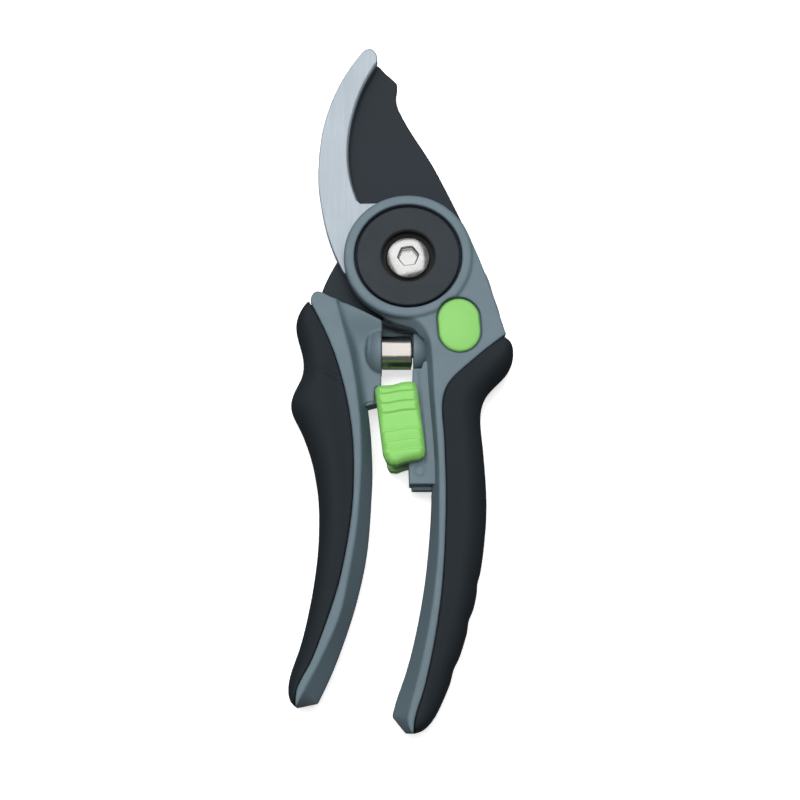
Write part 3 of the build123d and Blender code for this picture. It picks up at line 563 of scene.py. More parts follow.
def metal(name, colour, rough=(0.28, 0.4), stretch=(1, 0.04, 1), turn=0.0,
          scale=1500, depth=0.00002, strength=0.25, marks=0.12, aniso=0.0,
          stain=None):
    """Ground metal: long grinding lines, soft cloudiness, faint marks."""
    m, nt, b = start(name)
    v = coords(nt)
    lines = noise(nt, coords(nt, stretch, turn), scale, 4.0, 0.65)
    cloud = noise(nt, v, 60, 3.0, 0.5)
    mark = noise(nt, coords(nt, (1, 0.3, 1), turn + 0.6), 420, 6.0, 0.75, 0.5)
    col = ramp(nt, cloud, (0.3, shade(colour, 0.94)), (0.7, shade(colour, 1.04)))
    k = nt.nodes.new("ShaderNodeMath")
    k.operation = "MULTIPLY"
    k.inputs[1].default_value = marks
    nt.links.new(ramp(nt, lines, (0.4, (0, 0, 0)), (0.62, (1, 1, 1))),
                 k.inputs[0])
    col = mixed(nt, k.outputs[0], col, shade(colour, 0.72))
    if stain:
        k3 = nt.nodes.new("ShaderNodeMath")
        k3.operation = "MULTIPLY"
        k3.inputs[1].default_value = 0.5
        nt.links.new(ramp(nt, mark, (0.62, (0, 0, 0)), (0.72, (1, 1, 1))),
                     k3.inputs[0])
        col = mixed(nt, k3.outputs[0], col, stain)
    nt.links.new(col, b.inputs["Base Color"])
    b.inputs["Metallic"].default_value = 1.0
    nt.links.new(spread(nt, lines, *rough), b.inputs["Roughness"])
    n1 = bump(nt, lines, strength, depth)
    n2 = bump(nt, mark, 0.06, 0.00004, n1)
    nt.links.new(n2, b.inputs["Normal"])
    if aniso:
        b.inputs["Anisotropic"].default_value = aniso
    return m


def coating(name, colour):
    """Black non-stick coating over ground steel, with its fine speckle. The washer
    material made with it is near-black as painted shade for the recess round the bolt.
    """
    m, nt, b = start(name)
    v = coords(nt)
    speck = noise(nt, v, 3200, 5.0, 0.7)
    lines = noise(nt, coords(nt, (1, 0.05, 1), 0.45), 900, 3.0)
    cloud = noise(nt, v, 50, 3.0)
    col = ramp(nt, cloud, (0.3, shade(colour, 0.92)), (0.7, shade(colour, 1.08)))
    k = nt.nodes.new("ShaderNodeMath")
    k.operation = "MULTIPLY"
    k.inputs[1].default_value = 0.35
    nt.links.new(ramp(nt, speck, (0.55, (0, 0, 0)), (0.72, (1, 1, 1))),
                 k.inputs[0])
    col = mixed(nt, k.outputs[0], col, shade(colour, 1.7))
    nt.links.new(col, b.inputs["Base Color"])
    nt.links.new(spread(nt, cloud, 0.44, 0.56), b.inputs["Roughness"])
    n1 = bump(nt, lines, 0.16, 0.00003)
    n2 = bump(nt, speck, 0.2, 0.00002, n1)
    nt.links.new(n2, b.inputs["Normal"])
    b.inputs["Specular IOR Level"].default_value = 0.17
    return m


STEEL = metal("satin_steel_brushed", (0.38, 0.43, 0.475), (0.36, 0.46),
              turn=0.15, marks=0.16)
EDGE_STEEL = metal("ground_edge_steel", (0.70, 0.73, 0.76), (0.22, 0.32),
                   turn=1.2)
BLACK = coating("black_blade_coating", (0.0167, 0.0225, 0.0280))
NYLON = plastic("grey_nylon_moulding", (0.118, 0.168, 0.197),
                (0.44, 0.56), 2400, strength=0.25, mottle=0.03)
GRIP = rubber("soft_grip_rubber", (0.0140, 0.0190, 0.0235))
GREEN = plastic("green_plastic", (0.243, 0.600, 0.138), (0.36, 0.46), 1800,
                0.00002, 0.18, mottle=0.02)
GREEN_SLIDE = plastic("green_slider_plastic", (0.268, 0.663, 0.150),
                      (0.36, 0.46), 1700, 0.00003, 0.25, mottle=0.03)
COVER = plastic("dark_cover_plastic", (0.0200, 0.0268, 0.0330),
                (0.44, 0.54), 2800, 0.00003, 0.25, specular=0.25,
                mottle=0.04)
CHROME = metal("plated_steel", (0.56, 0.56, 0.555), (0.14, 0.26),
               (1, 1, 1), scale=700, depth=0.00003, marks=0.14)
SPRING = metal("spring_steel", (0.56, 0.53, 0.50), (0.16, 0.26),
               (0.05, 1, 1), scale=1800, marks=0.2)
PLAIN = metal("zinc_steel", (0.55, 0.56, 0.57), (0.3, 0.42), (1, 1, 1),
              scale=900, marks=0.2)
BRASS = metal("bush_brass", (0.72, 0.55, 0.28), (0.25, 0.38), (1, 1, 1),
              scale=900, marks=0.2)
# the bolt washer's near-black colour is painted shade: it stands in for the deep shadow
# in the recess round the bolt head, laid over a dark steel washer
WASHER_PAINTED_SHADE = coating("washer_steel_painted_shade", (0.012, 0.011, 0.010))

MID = 10.0

# ---------------------------------------------------------------------------
# Right handle moulding, front half
# ---------------------------------------------------------------------------
def tube(g, r):
    """Distance to the spring's round space, whose axis runs along X."""
    return np.sqrt((g.Y + 27.6) ** 2 + (g.Z - 10.0) ** 2) - r


def upright(d, z0, z1, g, k, k0=0.2):
    """Plan field d standing from z0 to z1, top edge rounded by k."""
    return smax(smax(d, g.Z - z1, k), z0 - g.Z, k0)


def right_front():
    g = Grid((-21, -140, 9.9), (32, 21, 19.0), (0.38, 0.38, 0.34))
    wall = sd(g, loop(R_WALL, [R_WALL[-1], (-4.5, -133.8), (-0.9, -138.1)],
                      [(-0.9, -138.1), R_SEAM[0]], R_SEAM, SHOULDER,
                      [SHOULDER[-1], (0.0, 0.0), R_WALL[0]]))
    far = [(60.0, -140.0), (60.0, 60.0), (0.0, 0.0)]
    low = sd(g, loop(R_WALL, [R_WALL[-1], (-4.5, -133.8), (-0.9, -138.1)],
                     [(-0.9, -138.1), R_SEAM[0], far[0]], far,
                     [far[-1], R_WALL[0]]))
    face = sd(g, loop(R_FACE, [R_FACE[-1], (-0.2, -135.6), (0.5, -137.4)],
                      [(0.5, -137.4), R_SEAM[0], far[0]], far,
                      [far[-1], R_FACE[0]]))
    # the bevel is shallow beside the ring and deep along the handle
    w = ease((g.Y + 27.0) / 5.0)
    t = np.clip(lerp((g.Z - 11.2) / 6.8, (g.Z - 15.4) / 2.6, w), 0, 1.1)
    body = np.maximum(lerp(low[:, :, None], face[:, :, None], t),
                      wall[:, :, None])
    f = smax(body + 0.04, (g.Z - 18.0) * 0.9, 0.5)
    r = np.hypot(g.x, g.y)[:, :, None]
    ring = smax(r - 19.2, g.Z - 18.8, 1.3)
    f = smin(f, ring, 0.5)
    f = smax(f, 10.06 - g.Z, 0.2)
    # recess for the cover, with a small lead-in, then the bore
    f = smax(f, -smax(r - 16.1, 15.6 - g.Z, 0.1), 0.45)
    f = smax(f, -smax(r - 8.8, 13.6 - g.Z, 0.1), 0.2)
    # room for the hook blade
    tang = sd(g, loop([(16.0, 0.0), HOOK_TANG[0]], HOOK_TANG[:5],
                      HOOK_TANG[4:11], HOOK_TANG[10:13], HOOK_TANG[12:],
                      [HOOK_TANG[-1], (0.0, 0.0)]))
    side = sd(g, [(15.0, -6.0), (15.0, 15.0), (30.0, 15.0), (30.0, -2.2),
                  (22.0, -2.2)])
    pocket = np.minimum(np.minimum(np.hypot(g.x, g.y) - 19.7, tang), side)
    f = smax(f, -smax(pocket[:, :, None] - 0.05, g.Z - 13.7, 0.1), 0.25)
    f = smax(f, -np.maximum(tube(g, 5.6), g.X - 4.5), 0.3)
    # oval recess
    f = smax(f, -smax(oval(g, 17.0, 13.1)[:, :, None], 16.6 - g.Z, 0.2), 0.35)
    return solid("right_front_moulding", g, f, NYLON, "right_handle",
                 ["right_front_shell"])


def oval(g, length, width):
    """Plan distance to the inlay's rounded slot."""
    a = math.radians(94)
    u = (g.x - 15.0) * math.cos(a) + (g.y + 21.2) * math.sin(a)
    v = -(g.x - 15.0) * math.sin(a) + (g.y + 21.2) * math.cos(a)
    half = (length - width) / 2
    return np.hypot(np.maximum(np.abs(u) - half, 0), v) - width / 2


def right_rear():
    g = Grid((-8.5, -140, 1.8), (32, -4, 10.2), (0.42, 0.5, 0.42))
    rw = [(2.6, -23.2), (3.4, -24.3)] + R_WALL[5:]
    rf = [(4.3, -22.4), (5.3, -24.0)] + R_FACE[6:]
    end = [SHOULDER[2], (23.4, -6.6), (20.0, -6.2)]
    wall = sd(g, loop(rw, [rw[-1], (-4.5, -133.8), (-0.9, -138.1)],
                      [(-0.9, -138.1), R_SEAM[0]], R_SEAM, SHOULDER[:3],
                      end))
    far = [(60.0, -140.0), (60.0, 60.0), (20.0, -6.2)]
    low = sd(g, loop(rw, [rw[-1], (-4.5, -133.8), (-0.9, -138.1)],
                     [(-0.9, -138.1), R_SEAM[0], far[0]], far,
                     [far[-1], rw[0]]))
    face = sd(g, loop(rf, [rf[-1], (-0.2, -135.6), (0.5, -137.4)],
                      [(0.5, -137.4), R_SEAM[0], far[0]], far,
                      [far[-1], rf[0]]))
    t = np.clip((6.1 - g.Z) / 4.1, 0, 1.1)
    f = smax(np.maximum(lerp(low[:, :, None], face[:, :, None], t),
                        wall[:, :, None]) + 0.04,
             (2.0 - g.Z) * 0.9, 0.5)
    f = smax(f, g.Z - 9.94, 0.2)
    r = np.hypot(g.x, g.y)[:, :, None]
    f = smax(f, 20.8 - r, 0.5)
    shelf = sd(g, [(-8.2, -18.1), (-4.0, -19.6), (0.0, -20.0), (3.0, -19.8),
                   (6.5, -22.5), (6.5, -25.0), (-7.7, -23.8),
                   (-8.2, -20.5)])
    f = smin(f, smax(smax(shelf[:, :, None], g.Z - 4.9, 0.4), 2.6 - g.Z,
                     0.4), 0.6)
    f = smax(f, -np.maximum(tube(g, 5.6), g.X - 4.5), 0.3)
    f = heads(f, g, R_SCREWS, wall)
    return solid("right_rear_moulding", g, f, NYLON, "right_handle",
                 ["right_rear_shell"])


def heads(f, g, spots, wall=None):
    """Counterbores for the screws that are driven from the rear."""
    for x, y in spots:
        r = np.hypot(g.x - x, g.y - y)[:, :, None]
        boss = smax(smax(r - 2.42, 2.05 - g.Z, 0.3), g.Z - 6.0, 0.2)
        if wall is not None:
            boss = np.maximum(boss, wall[:, :, None] + 0.04)
        f = smin(f, boss, 0.15)
        f = smax(f, -np.maximum(r - 2.05, g.Z - 3.7), 0.25)
        f = np.maximum(f, -(r - 1.25))
    return f


# ---------------------------------------------------------------------------
# Left handle mouldings
# ---------------------------------------------------------------------------
L_FACE_TOP = [(-28.85, -12.7), (-28.15, -11.4), (-27.2, -10.8),
              (-26.1, -10.9), (-23.1, -12.4), (-21.7, -13.0)]
# web between the handle and the spring, down over the lock's tongue
L_WEB = [(-21.5, -13.2), (-18.0, -14.25), (-14.6, -15.8), (-11.9, -17.1),
         (-7.85, -19.1), (-7.75, -20.4), (-7.75, -30.0), (-7.9, -36.2), (-8.05, -41.9),
         (-8.4, -43.0), (-9.6, -43.4), (-11.6, -43.6), (-14.0, -43.8),
         (-17.5, -43.8)]
L_WEB_REAR = [(-18.0, -14.3), (-14.6, -14.9), (-11.9, -16.45),
              (-8.4, -18.5), (-7.9, -19.9), (-7.9, -30.0), (-8.0, -36.2), (-12.0, -36.8),
              (-12.7, -41.0), (-17.5, -41.0)]


def left_body(g, z, outline, size, crest, start):
    """Left moulding, with z its height above the far side's face."""
    full = sd(g, loop(L_TOP[:6], [L_TOP[5], L_VALLEY[0]],
                      L_VALLEY + L_INNER[1:], [L_INNER[-1], L_SEAM[0]],
                      L_SEAM))
    far = [(-60.0, -137.0), (-60.0, -60.0), (-34.0, -16.0)]
    low = sd(g, loop(L_TOP[:6], [L_TOP[5], L_VALLEY[0]],
                     L_VALLEY + L_INNER[1:],
                     [L_INNER[-1], L_SEAM[0], far[0]], far,
                     [far[-1], L_TOP[0]]))
    top = sd(g, loop(L_FACE_TOP, [L_FACE_TOP[-1], L_FACE[0]], L_FACE,
                     [L_FACE[-1], L_SEAM[0], far[0]], far,
                     [far[-1], L_FACE_TOP[0]]))
    t = np.clip((z - start) / (18.0 - start), 0, 1.1)
    f = smax(np.maximum(lerp(low[:, :, None], top[:, :, None], t),
                        full[:, :, None]) + 0.04, (z - 18.0) * 0.9, 0.5)
    rise = 13.2 + crest * ease((g.Y + 27.0) / 12.0)
    web = smax(sd(g, outline)[:, :, None], (z - rise) * 0.97, 0.45)
    f = smin(f, web, 1.6)
    # dome over the spring cup, its flat end towards the spring
    r = np.sqrt((g.Y + 28.1) ** 2 + (z - 10.0) ** 2)
    dome = (np.sqrt(((g.X + 7.9) / 5.4) ** 2 + (r / size) ** 2) - 1) * 5.8
    f = smin(f, smax(dome, g.X + 7.85, 0.45), 0.35)
    return smax(f, -np.maximum(np.maximum(r - 5.75, -10.4 - g.X),
                               g.X + 7.0), 0.25)


def left_front():
    g = Grid((-33, -132.5, 9.9), (-7, -10, 18.2), (0.36, 0.4, 0.34))
    f = left_body(g, g.Z, L_WEB, 7.6, 3.2, 11.2)
    f = smax(f, 10.06 - g.Z, 0.2)
    root = sd(g, [(-14.2, -34.6), (-7.0, -34.6), (-7.0, -44.6),
                  (-11.6, -44.7), (-13.9, -45.4), (-14.2, -45.4)])
    f = smax(f, -np.maximum(root[:, :, None], g.Z - 12.45), 0.15)
    # step for the slider's nose
    nose = sd(g, [(-9.9, -60.0), (-5.0, -60.0), (-5.0, -38.9),
                  (-9.9, -38.9)])
    f = smax(f, -np.maximum(nose[:, :, None], 12.3 - g.Z), 0.2)
    return solid("left_front_moulding", g, f, NYLON, "left_handle",
                 ["left_front_shell"])


def left_rear():
    g = Grid((-33, -132.5, 0.5), (20.5, 20.5, 10.1), (0.42, 0.5, 0.42))
    z = 20.0 - g.Z
    f = left_body(g, z, L_WEB_REAR, 6.7, 0.0, 13.6)
    r = np.hypot(g.x, g.y)[:, :, None]
    plate = smax(smax(r - 19.4, 0.6 - g.Z, 1.2), g.Z - 6.8, 0.2)
    arm = sd(g, [(-18.5, 0.0), (-24.2, -12.8), (-16.0, -20.0), (-9.4, -19.0),
                 (-8.0, -16.0)])
    arm = smax(smax(arm[:, :, None], 2.4 - g.Z, 0.6), g.Z - 6.8, 0.2)
    f = smin(f, smin(plate, arm, 0.8), 0.5)
    f = smax(f, g.Z - 9.94, 0.2)
    tang = sd(g, loop([(-14.0, 9.0), BLADE_TANG[0]], BLADE_TANG[:6],
                      BLADE_TANG[5:12], BLADE_TANG[11:14], BLADE_TANG[13:],
                      [BLADE_TANG[-1], (0.0, 0.0)]))
    room = np.minimum(np.hypot(g.x, g.y) - 20.0, tang)[:, :, None]
    f = smax(f, -np.maximum(np.maximum(room, 6.83 - g.Z), g.Z - 10.9), 0.15)
    f = smax(f, -smax(r - 9.5, 1.8 - g.Z, 0.1), 0.2)
    f = smax(f, -smax(r - 16.15, g.Z - 1.8, 0.1), 0.3)
    root = sd(g, [(-14.2, -34.6), (-7.0, -34.6), (-7.0, -44.6),
                  (-11.6, -44.7), (-13.9, -45.4), (-14.2, -45.4)])
    f = smax(f, -np.maximum(root[:, :, None], 6.0 - g.Z), 0.15)
    f = heads(f, g, L_SCREWS)
    return solid("left_rear_moulding", g, f, NYLON, "left_handle",
                 ["left_rear_shell"])


# ---------------------------------------------------------------------------
# Soft grips: a full rounded section on the outer side, a soft crown on top
# ---------------------------------------------------------------------------
def grip(name, outer, seam, out_close, seam_close, lo, hi, body, node, ends,
         dents=(), crease=None, radius=8.0, power=2.5):
    g = Grid(lo, hi, (0.42, 0.6, 0.42))
    u = -sd(g, loop(outer) + out_close)
    s = -sd(g, loop(seam) + seam_close)
    for x, y, w, k in dents:
        u = u - k * np.exp(-((g.x - x) ** 2 + (g.y - y) ** 2) / (w * w))
    crown = 8.45 + 1.5 * ease((s + 0.5) / 8.0)
    if crease is not None:
        d = near(g, crease)
        crown = crown - 0.6 * np.exp(-(d / 0.6) ** 2)
    # the section is squarer at both ends, where the hard moulding starts
    r = np.full_like(u, radius)
    for x, y, reach, small in ends:
        w = ease(np.hypot(g.x - x, g.y - y) / reach)
        r = np.minimum(r, small + (radius - small) * w)
    e = np.clip(1 - u / r, 0, None)[:, :, None]
    zz = np.abs(g.Z - 10.0) / crown[:, :, None]
    f = ((e ** power + zz ** power) ** (1 / power) - 1) * r[:, :, None]
    # at mid height the seam face reaches into the hard moulding, so that
    # no light passes along the seam
    tuck = 0.4 * np.exp(-((g.Z - 10.0) / 1.5) ** 2)
    f = smax(f, 0.05 - tuck - s[:, :, None], 0.5)
    return solid(name, g, f, GRIP, body, [node])


# ---------------------------------------------------------------------------
# Blades
# ---------------------------------------------------------------------------
def hook():
    g = Grid((-28, -64, 9.9), (29, 70.5, 13.9), (0.34, 0.4, 0.25))
    main = sd(g, loop(HOOK_OUTER, [HOOK_OUTER[-1], (-12.0, -10.0),
                                   (0.0, 0.0)],
                      [(-8.6, 18.5), (-14.7, 18.4), (-15.2, 19.6)],
                      HOOK_INNER[::-1],
                      HOOK_TIP))
    tang = sd(g, loop([(16.0, 0.0), HOOK_TANG[0]], HOOK_TANG[:5],
                      HOOK_TANG[4:11], HOOK_TANG[10:13], HOOK_TANG[12:],
                      [HOOK_TANG[-1], (0.0, 0.0)]))
    r = np.hypot(g.x, g.y)
    d = np.minimum(np.minimum(main, tang), r - 17.5)
    d = np.maximum(d, 4.52 - r)
    for x, y in R_SCREWS[:2]:
        d = np.maximum(d, 1.3 - np.hypot(g.x - x, g.y - y))
    d = d[:, :, None]
    f = smax(smax(d, g.Z - 13.65, 0.26), 10.15 - g.Z, 0.25)
    # ground line along the inner edge
    e = near(g, loop(HOOK_INNER))[:, :, None]
    f = smax(f, (g.Z - 13.65 + (0.75 - e) * 0.8) * 0.78, 0.12)
    return solid("hook_counter_blade", g, f, STEEL, "right_handle",
                 ["hook_blade"])


def blade():
    g = Grid((-27.5, -60.5, 6.6), (18.5, 67, 10.1), (0.34, 0.4, 0.22))
    main = sd(g, loop(BLADE_EDGE, [BLADE_EDGE[-1], (-10.0, 0.0), (10.0, 0.0),
                                   (17.3, 9.0), BLADE_SPINE[-1]],
                      BLADE_SPINE[::-1], BLADE_HEEL[::-1],
                      BLADE_POINT[::-1]))
    tang = sd(g, loop([(-14.0, 9.0), BLADE_TANG[0]], BLADE_TANG[:6],
                      BLADE_TANG[5:12], BLADE_TANG[11:14], BLADE_TANG[13:],
                      [BLADE_TANG[-1], (0.0, 0.0)]))
    r = np.hypot(g.x, g.y)
    d = np.minimum(np.minimum(main, tang), r - 17.5)
    d = np.maximum(d, 4.57 - r)
    for x, y in L_SCREWS[:1]:
        d = np.maximum(d, 1.3 - np.hypot(g.x - x, g.y - y))
    d = d[:, :, None]
    f = smax(smax(d, g.Z - 9.85, 0.3), 6.85 - g.Z, 0.3)
    # the cutting bevel, ground on the rear side, 6 mm wide
    e = near(g, loop(BLADE_EDGE))[:, :, None]
    f = smax(f, (6.85 - g.Z + (6.0 - e) * 0.42) * 0.92, 0.15)
    return solid("bypass_blade", g, f, BLACK, "left_handle",
                 ["cutting_blade"])


# ---------------------------------------------------------------------------
# Pivot
# ---------------------------------------------------------------------------
def pivot():
    prof = rounded([(8.7, 15.65), (16.05, 15.65), (16.05, 16.3),
                    (15.4, 16.4), (15.4, 18.3),
                    (8.4, 18.3), (7.95, 17.85), (7.95, 16.05), (8.7, 16.05)],
                   (0.1, 0.1, 0.1, 0.1, 0.6, 0.2, 0.15, 0.1, 0))
    pts, faces = lathe(prof[::-1], 200)
    o = make("front_cover_disc", pts, [f[::-1] for f in faces], COVER,
             "right_handle", cad=["front_pivot_cover"])
    fix(o)
    prof = rounded([(0.02, 1.78), (0.02, 0.0), (15.6, 0.0), (16.0, 0.4),
                    (16.0, 1.78)], (0, 0, 0.3, 0.2, 0.1))
    prof = [(0.02, 1.78), (0.02, 0.45), (5.6, 0.45), (5.9, 0.36),
            (6.4, 0.08), (6.7, 0.0), (15.3, 0.0), (15.6, 0.06),
            (15.9, 0.3), (16.0, 0.55), (16.0, 1.78)]
    pts, faces = lathe(prof, 200)
    o = make("rear_cover_disc", pts, faces, COVER, "left_handle",
             cad=["rear_pivot_cover"])
    fix(o)
    # button-head bolt
    g = Grid((-6.7, -6.7, 15.5), (6.7, 6.7, 19.2), (0.13, 0.13, 0.12))
    r = np.hypot(g.x, g.y)[:, :, None]
    top = g.Z - (18.5 - 0.056 * np.clip(r - 1.2, 0, 9) ** 2)
    f = smax(smax(r - 6.6, top * 0.88, 0.35), 15.62 - g.Z, 0.1)
    hexa = hexagon(g, 5.0, math.radians(98))
    # the socket is chamfered at its mouth
    hexa = hexa - 0.55 * np.clip((g.Z - 17.5) / 0.9, 0, 1)
    f = smax(f, -np.maximum(hexa, 15.95 - g.Z), 0.1)
    solid("pivot_bolt_head", g, f, CHROME, "right_handle",
          ["pivot_bolt"])
    pts, faces = lathe([(0.02, 2.62), (2.6, 2.62), (3.0, 3.0), (3.0, 15.6),
                        (0.02, 15.6)], 48)
    fix(make("pivot_bolt_shank", pts, faces, CHROME, "right_handle"))


def hexagon(g, across, turn):
    d = None
    for k in range(3):
        a = turn + k * math.pi / 3
        v = np.abs(g.x * math.cos(a) + g.y * math.sin(a)) - across / 2
        d = v if d is None else np.maximum(d, v)
    return d[:, :, None]


def fix(ob):
    """Faces of a turned mesh point outwards."""
    import bmesh
    bm = bmesh.new()
    bm.from_mesh(ob.data)
    bmesh.ops.recalc_face_normals(bm, faces=bm.faces)
    bm.to_mesh(ob.data)
    bm.free()
    ob.data.polygons.foreach_set("use_smooth", [True] * len(ob.data.polygons))
    sharpen(ob, 35)


def sharpen(ob, angle):
    """Marks edges sharper than the angle, so flats shade as flats."""
    me = ob.data
    me.set_sharp_from_angle(angle=math.radians(angle))


def badge():
    g = Grid((7.5, -30.5, 16.5), (22.5, -12, 18.5), (0.22, 0.22, 0.16))
    d = oval(g, 16.3, 12.4)
    z1 = 17.75 + 0.6 * (1 - np.clip(1 + d / 6.3, 0, 1) ** 2)
    f = smax(smax(d[:, :, None], g.Z - z1[:, :, None], 0.9), 16.68 - g.Z, 0.1)
    solid("oval_inlay", g, f, GREEN, "right_handle",
          ["oval_badge"])


# ---------------------------------------------------------------------------
# Spring cups, tongue, rail
# ---------------------------------------------------------------------------
def blocks():
    g = Grid((-13.2, -34.5, 3.6), (-5.8, -20.8, 16.4), (0.3, 0.3, 0.3))
    r = tube(g, 0)
    f = smax(smax(smax(r - 6.1, -12.6 - g.X, 2.4), g.X + 8.35, 0.3),
             -smax(r - 4.9, -9.3 - g.X, 0.3), 0.3)
    f = smin(f, smax(smax(r - 1.6, g.X + 6.2, 0.5), -10.0 - g.X, 0.1), 0.5)
    solid("left_spring_seat", g, f, NYLON, "left_handle",
          ["left_spring_cup"])
    g = Grid((-0.8, -33.6, 4.0), (6.3, -21.6, 16.0), (0.28, 0.28, 0.28))
    r = tube(g, 0)
    cap = (np.sqrt(((g.X - 1.5) / 4.9) ** 2 + (r / 5.8) ** 2) - 1) * 5.0
    f = smax(smax(cap, 1.5 - g.X, 0.5), g.X - 6.0, 0.1)
    f = smin(f, smax(smax(r - 1.6, -0.7 - g.X, 0.5), g.X - 3.0, 0.1), 0.4)
    solid("right_spring_seat", g, f, NYLON, "right_handle",
          ["right_spring_cup"])

    g = Grid((-14.2, -46.5, 5.9), (-7.6, -34.3, 14.1), (0.26, 0.26, 0.26))
    d = sd(g, [(-13.9, -34.7), (-8.1, -34.7), (-8.0, -42.6), (-8.8, -43.8),
               (-11.6, -44.5), (-13.9, -45.2)])
    f = upright(d[:, :, None], 6.1, 12.95, g, 0.6, 0.6)
    step = sd(g, [(-9.9, -50.0), (-5.0, -50.0), (-5.0, -39.0), (-9.9, -39.0)])
    f = smax(f, -np.maximum(step[:, :, None], 12.6 - g.Z), 0.25)
    solid("lock_tongue_block", g, f, NYLON, "left_handle",
          ["lock_tongue"])

    g = Grid((-6.3, -69.8, 5.9), (8.4, -31.0, 14.1), (0.28, 0.3, 0.28))
    d = sd(g, [(1.3, -33.4), (3.8, -33.4), (4.6, -31.2), (6.2, -31.2),
               (6.4, -41.0), (7.1, -48.5),
               (7.7, -56.0), (8.1, -63.0), (8.0, -68.0), (0.2, -68.0),
               (0.0, -61.8), (-3.2, -61.2), (-6.0, -40.4), (1.1, -39.4)])
    d = np.maximum(d, -slot_field(g, -0.2, -0.1, 16.8, 4.2))
    f = upright(d[:, :, None], 6.1, 13.9, g, 0.45, 0.6)
    foot = sd(g, [(0.9, -66.0), (7.1, -66.0), (7.1, -69.2), (0.9, -69.2)])
    f = smin(f, upright(foot[:, :, None], 6.1, 9.7, g, 0.4, 0.4), 0.1)
    # groove beside the slider, and a shallow ring on the end block
    line = near(g, loop([(3.1, -34.5), (3.6, -41.0), (4.2, -48.5),
                         (4.7, -56.0), (5.0, -62.0)]))
    f = smax(f, -np.maximum(line[:, :, None] - 0.22, 13.6 - g.Z), 0.25)
    a = np.hypot(g.x - 3.3, g.y + 64.3)
    f = smax(f, -np.maximum(np.abs(a - 1.5)[:, :, None] - 0.22,
                            13.65 - g.Z), 0.2)
    f = smax(f, -leaf_room(g), 0.1)
    solid("lock_rail_plate", g, f, NYLON, "right_handle",
          ["lock_rail"])


LEAN = math.radians(7.1)
SLIDE_C = (-2.2, -51.2)


def local(g):
    """Across and along the slider for each point of a grid in plan."""
    x, y = g.x - SLIDE_C[0], g.y - SLIDE_C[1]
    return (x * math.cos(LEAN) + y * math.sin(LEAN),
            -x * math.sin(LEAN) + y * math.cos(LEAN))


def slot_field(g, a0, b0, length, width):
    a, b = local(g)
    half = (length - width) / 2
    return np.hypot(a - a0, np.maximum(np.abs(b - b0) - half, 0)) - width / 2


def leaf_room(g):
    a, b = local(g)
    d = np.maximum(np.abs(a - 2.4) - 0.9, np.abs(b - 1.0) - 6.3)
    return np.maximum(d[:, :, None], np.abs(g.Z - 10.0) - 1.8)


SLIDER_AB = [(-6.2, 10.8), (-5.9, 11.8), (-5.1, 12.4), (-3.0, 12.35),
             (-1.1, 12.2), (1.9, 12.7),
             (4.6, 12.6), (5.7, 11.8), (6.15, 10.2), (6.2, 5.0),
             (6.2, -5.0), (6.2, -8.4), (5.6, -10.0), (4.2, -10.7),
             (1.7, -10.8), (-0.6, -11.1), (-2.6, -11.6), (-4.4, -11.2),
             (-5.6, -9.9), (-6.2, -7.8), (-6.2, -3.0), (-6.2, 3.0),
             (-6.2, 9.0)]


def to_world(p, vector=False):
    c, s = math.cos(LEAN), math.sin(LEAN)
    q = p.copy()
    q[:, 0] = p[:, 0] * c - p[:, 1] * s
    q[:, 1] = p[:, 0] * s + p[:, 1] * c
    if not vector:
        q[:, 0] += SLIDE_C[0]
        q[:, 1] += SLIDE_C[1]
    return q


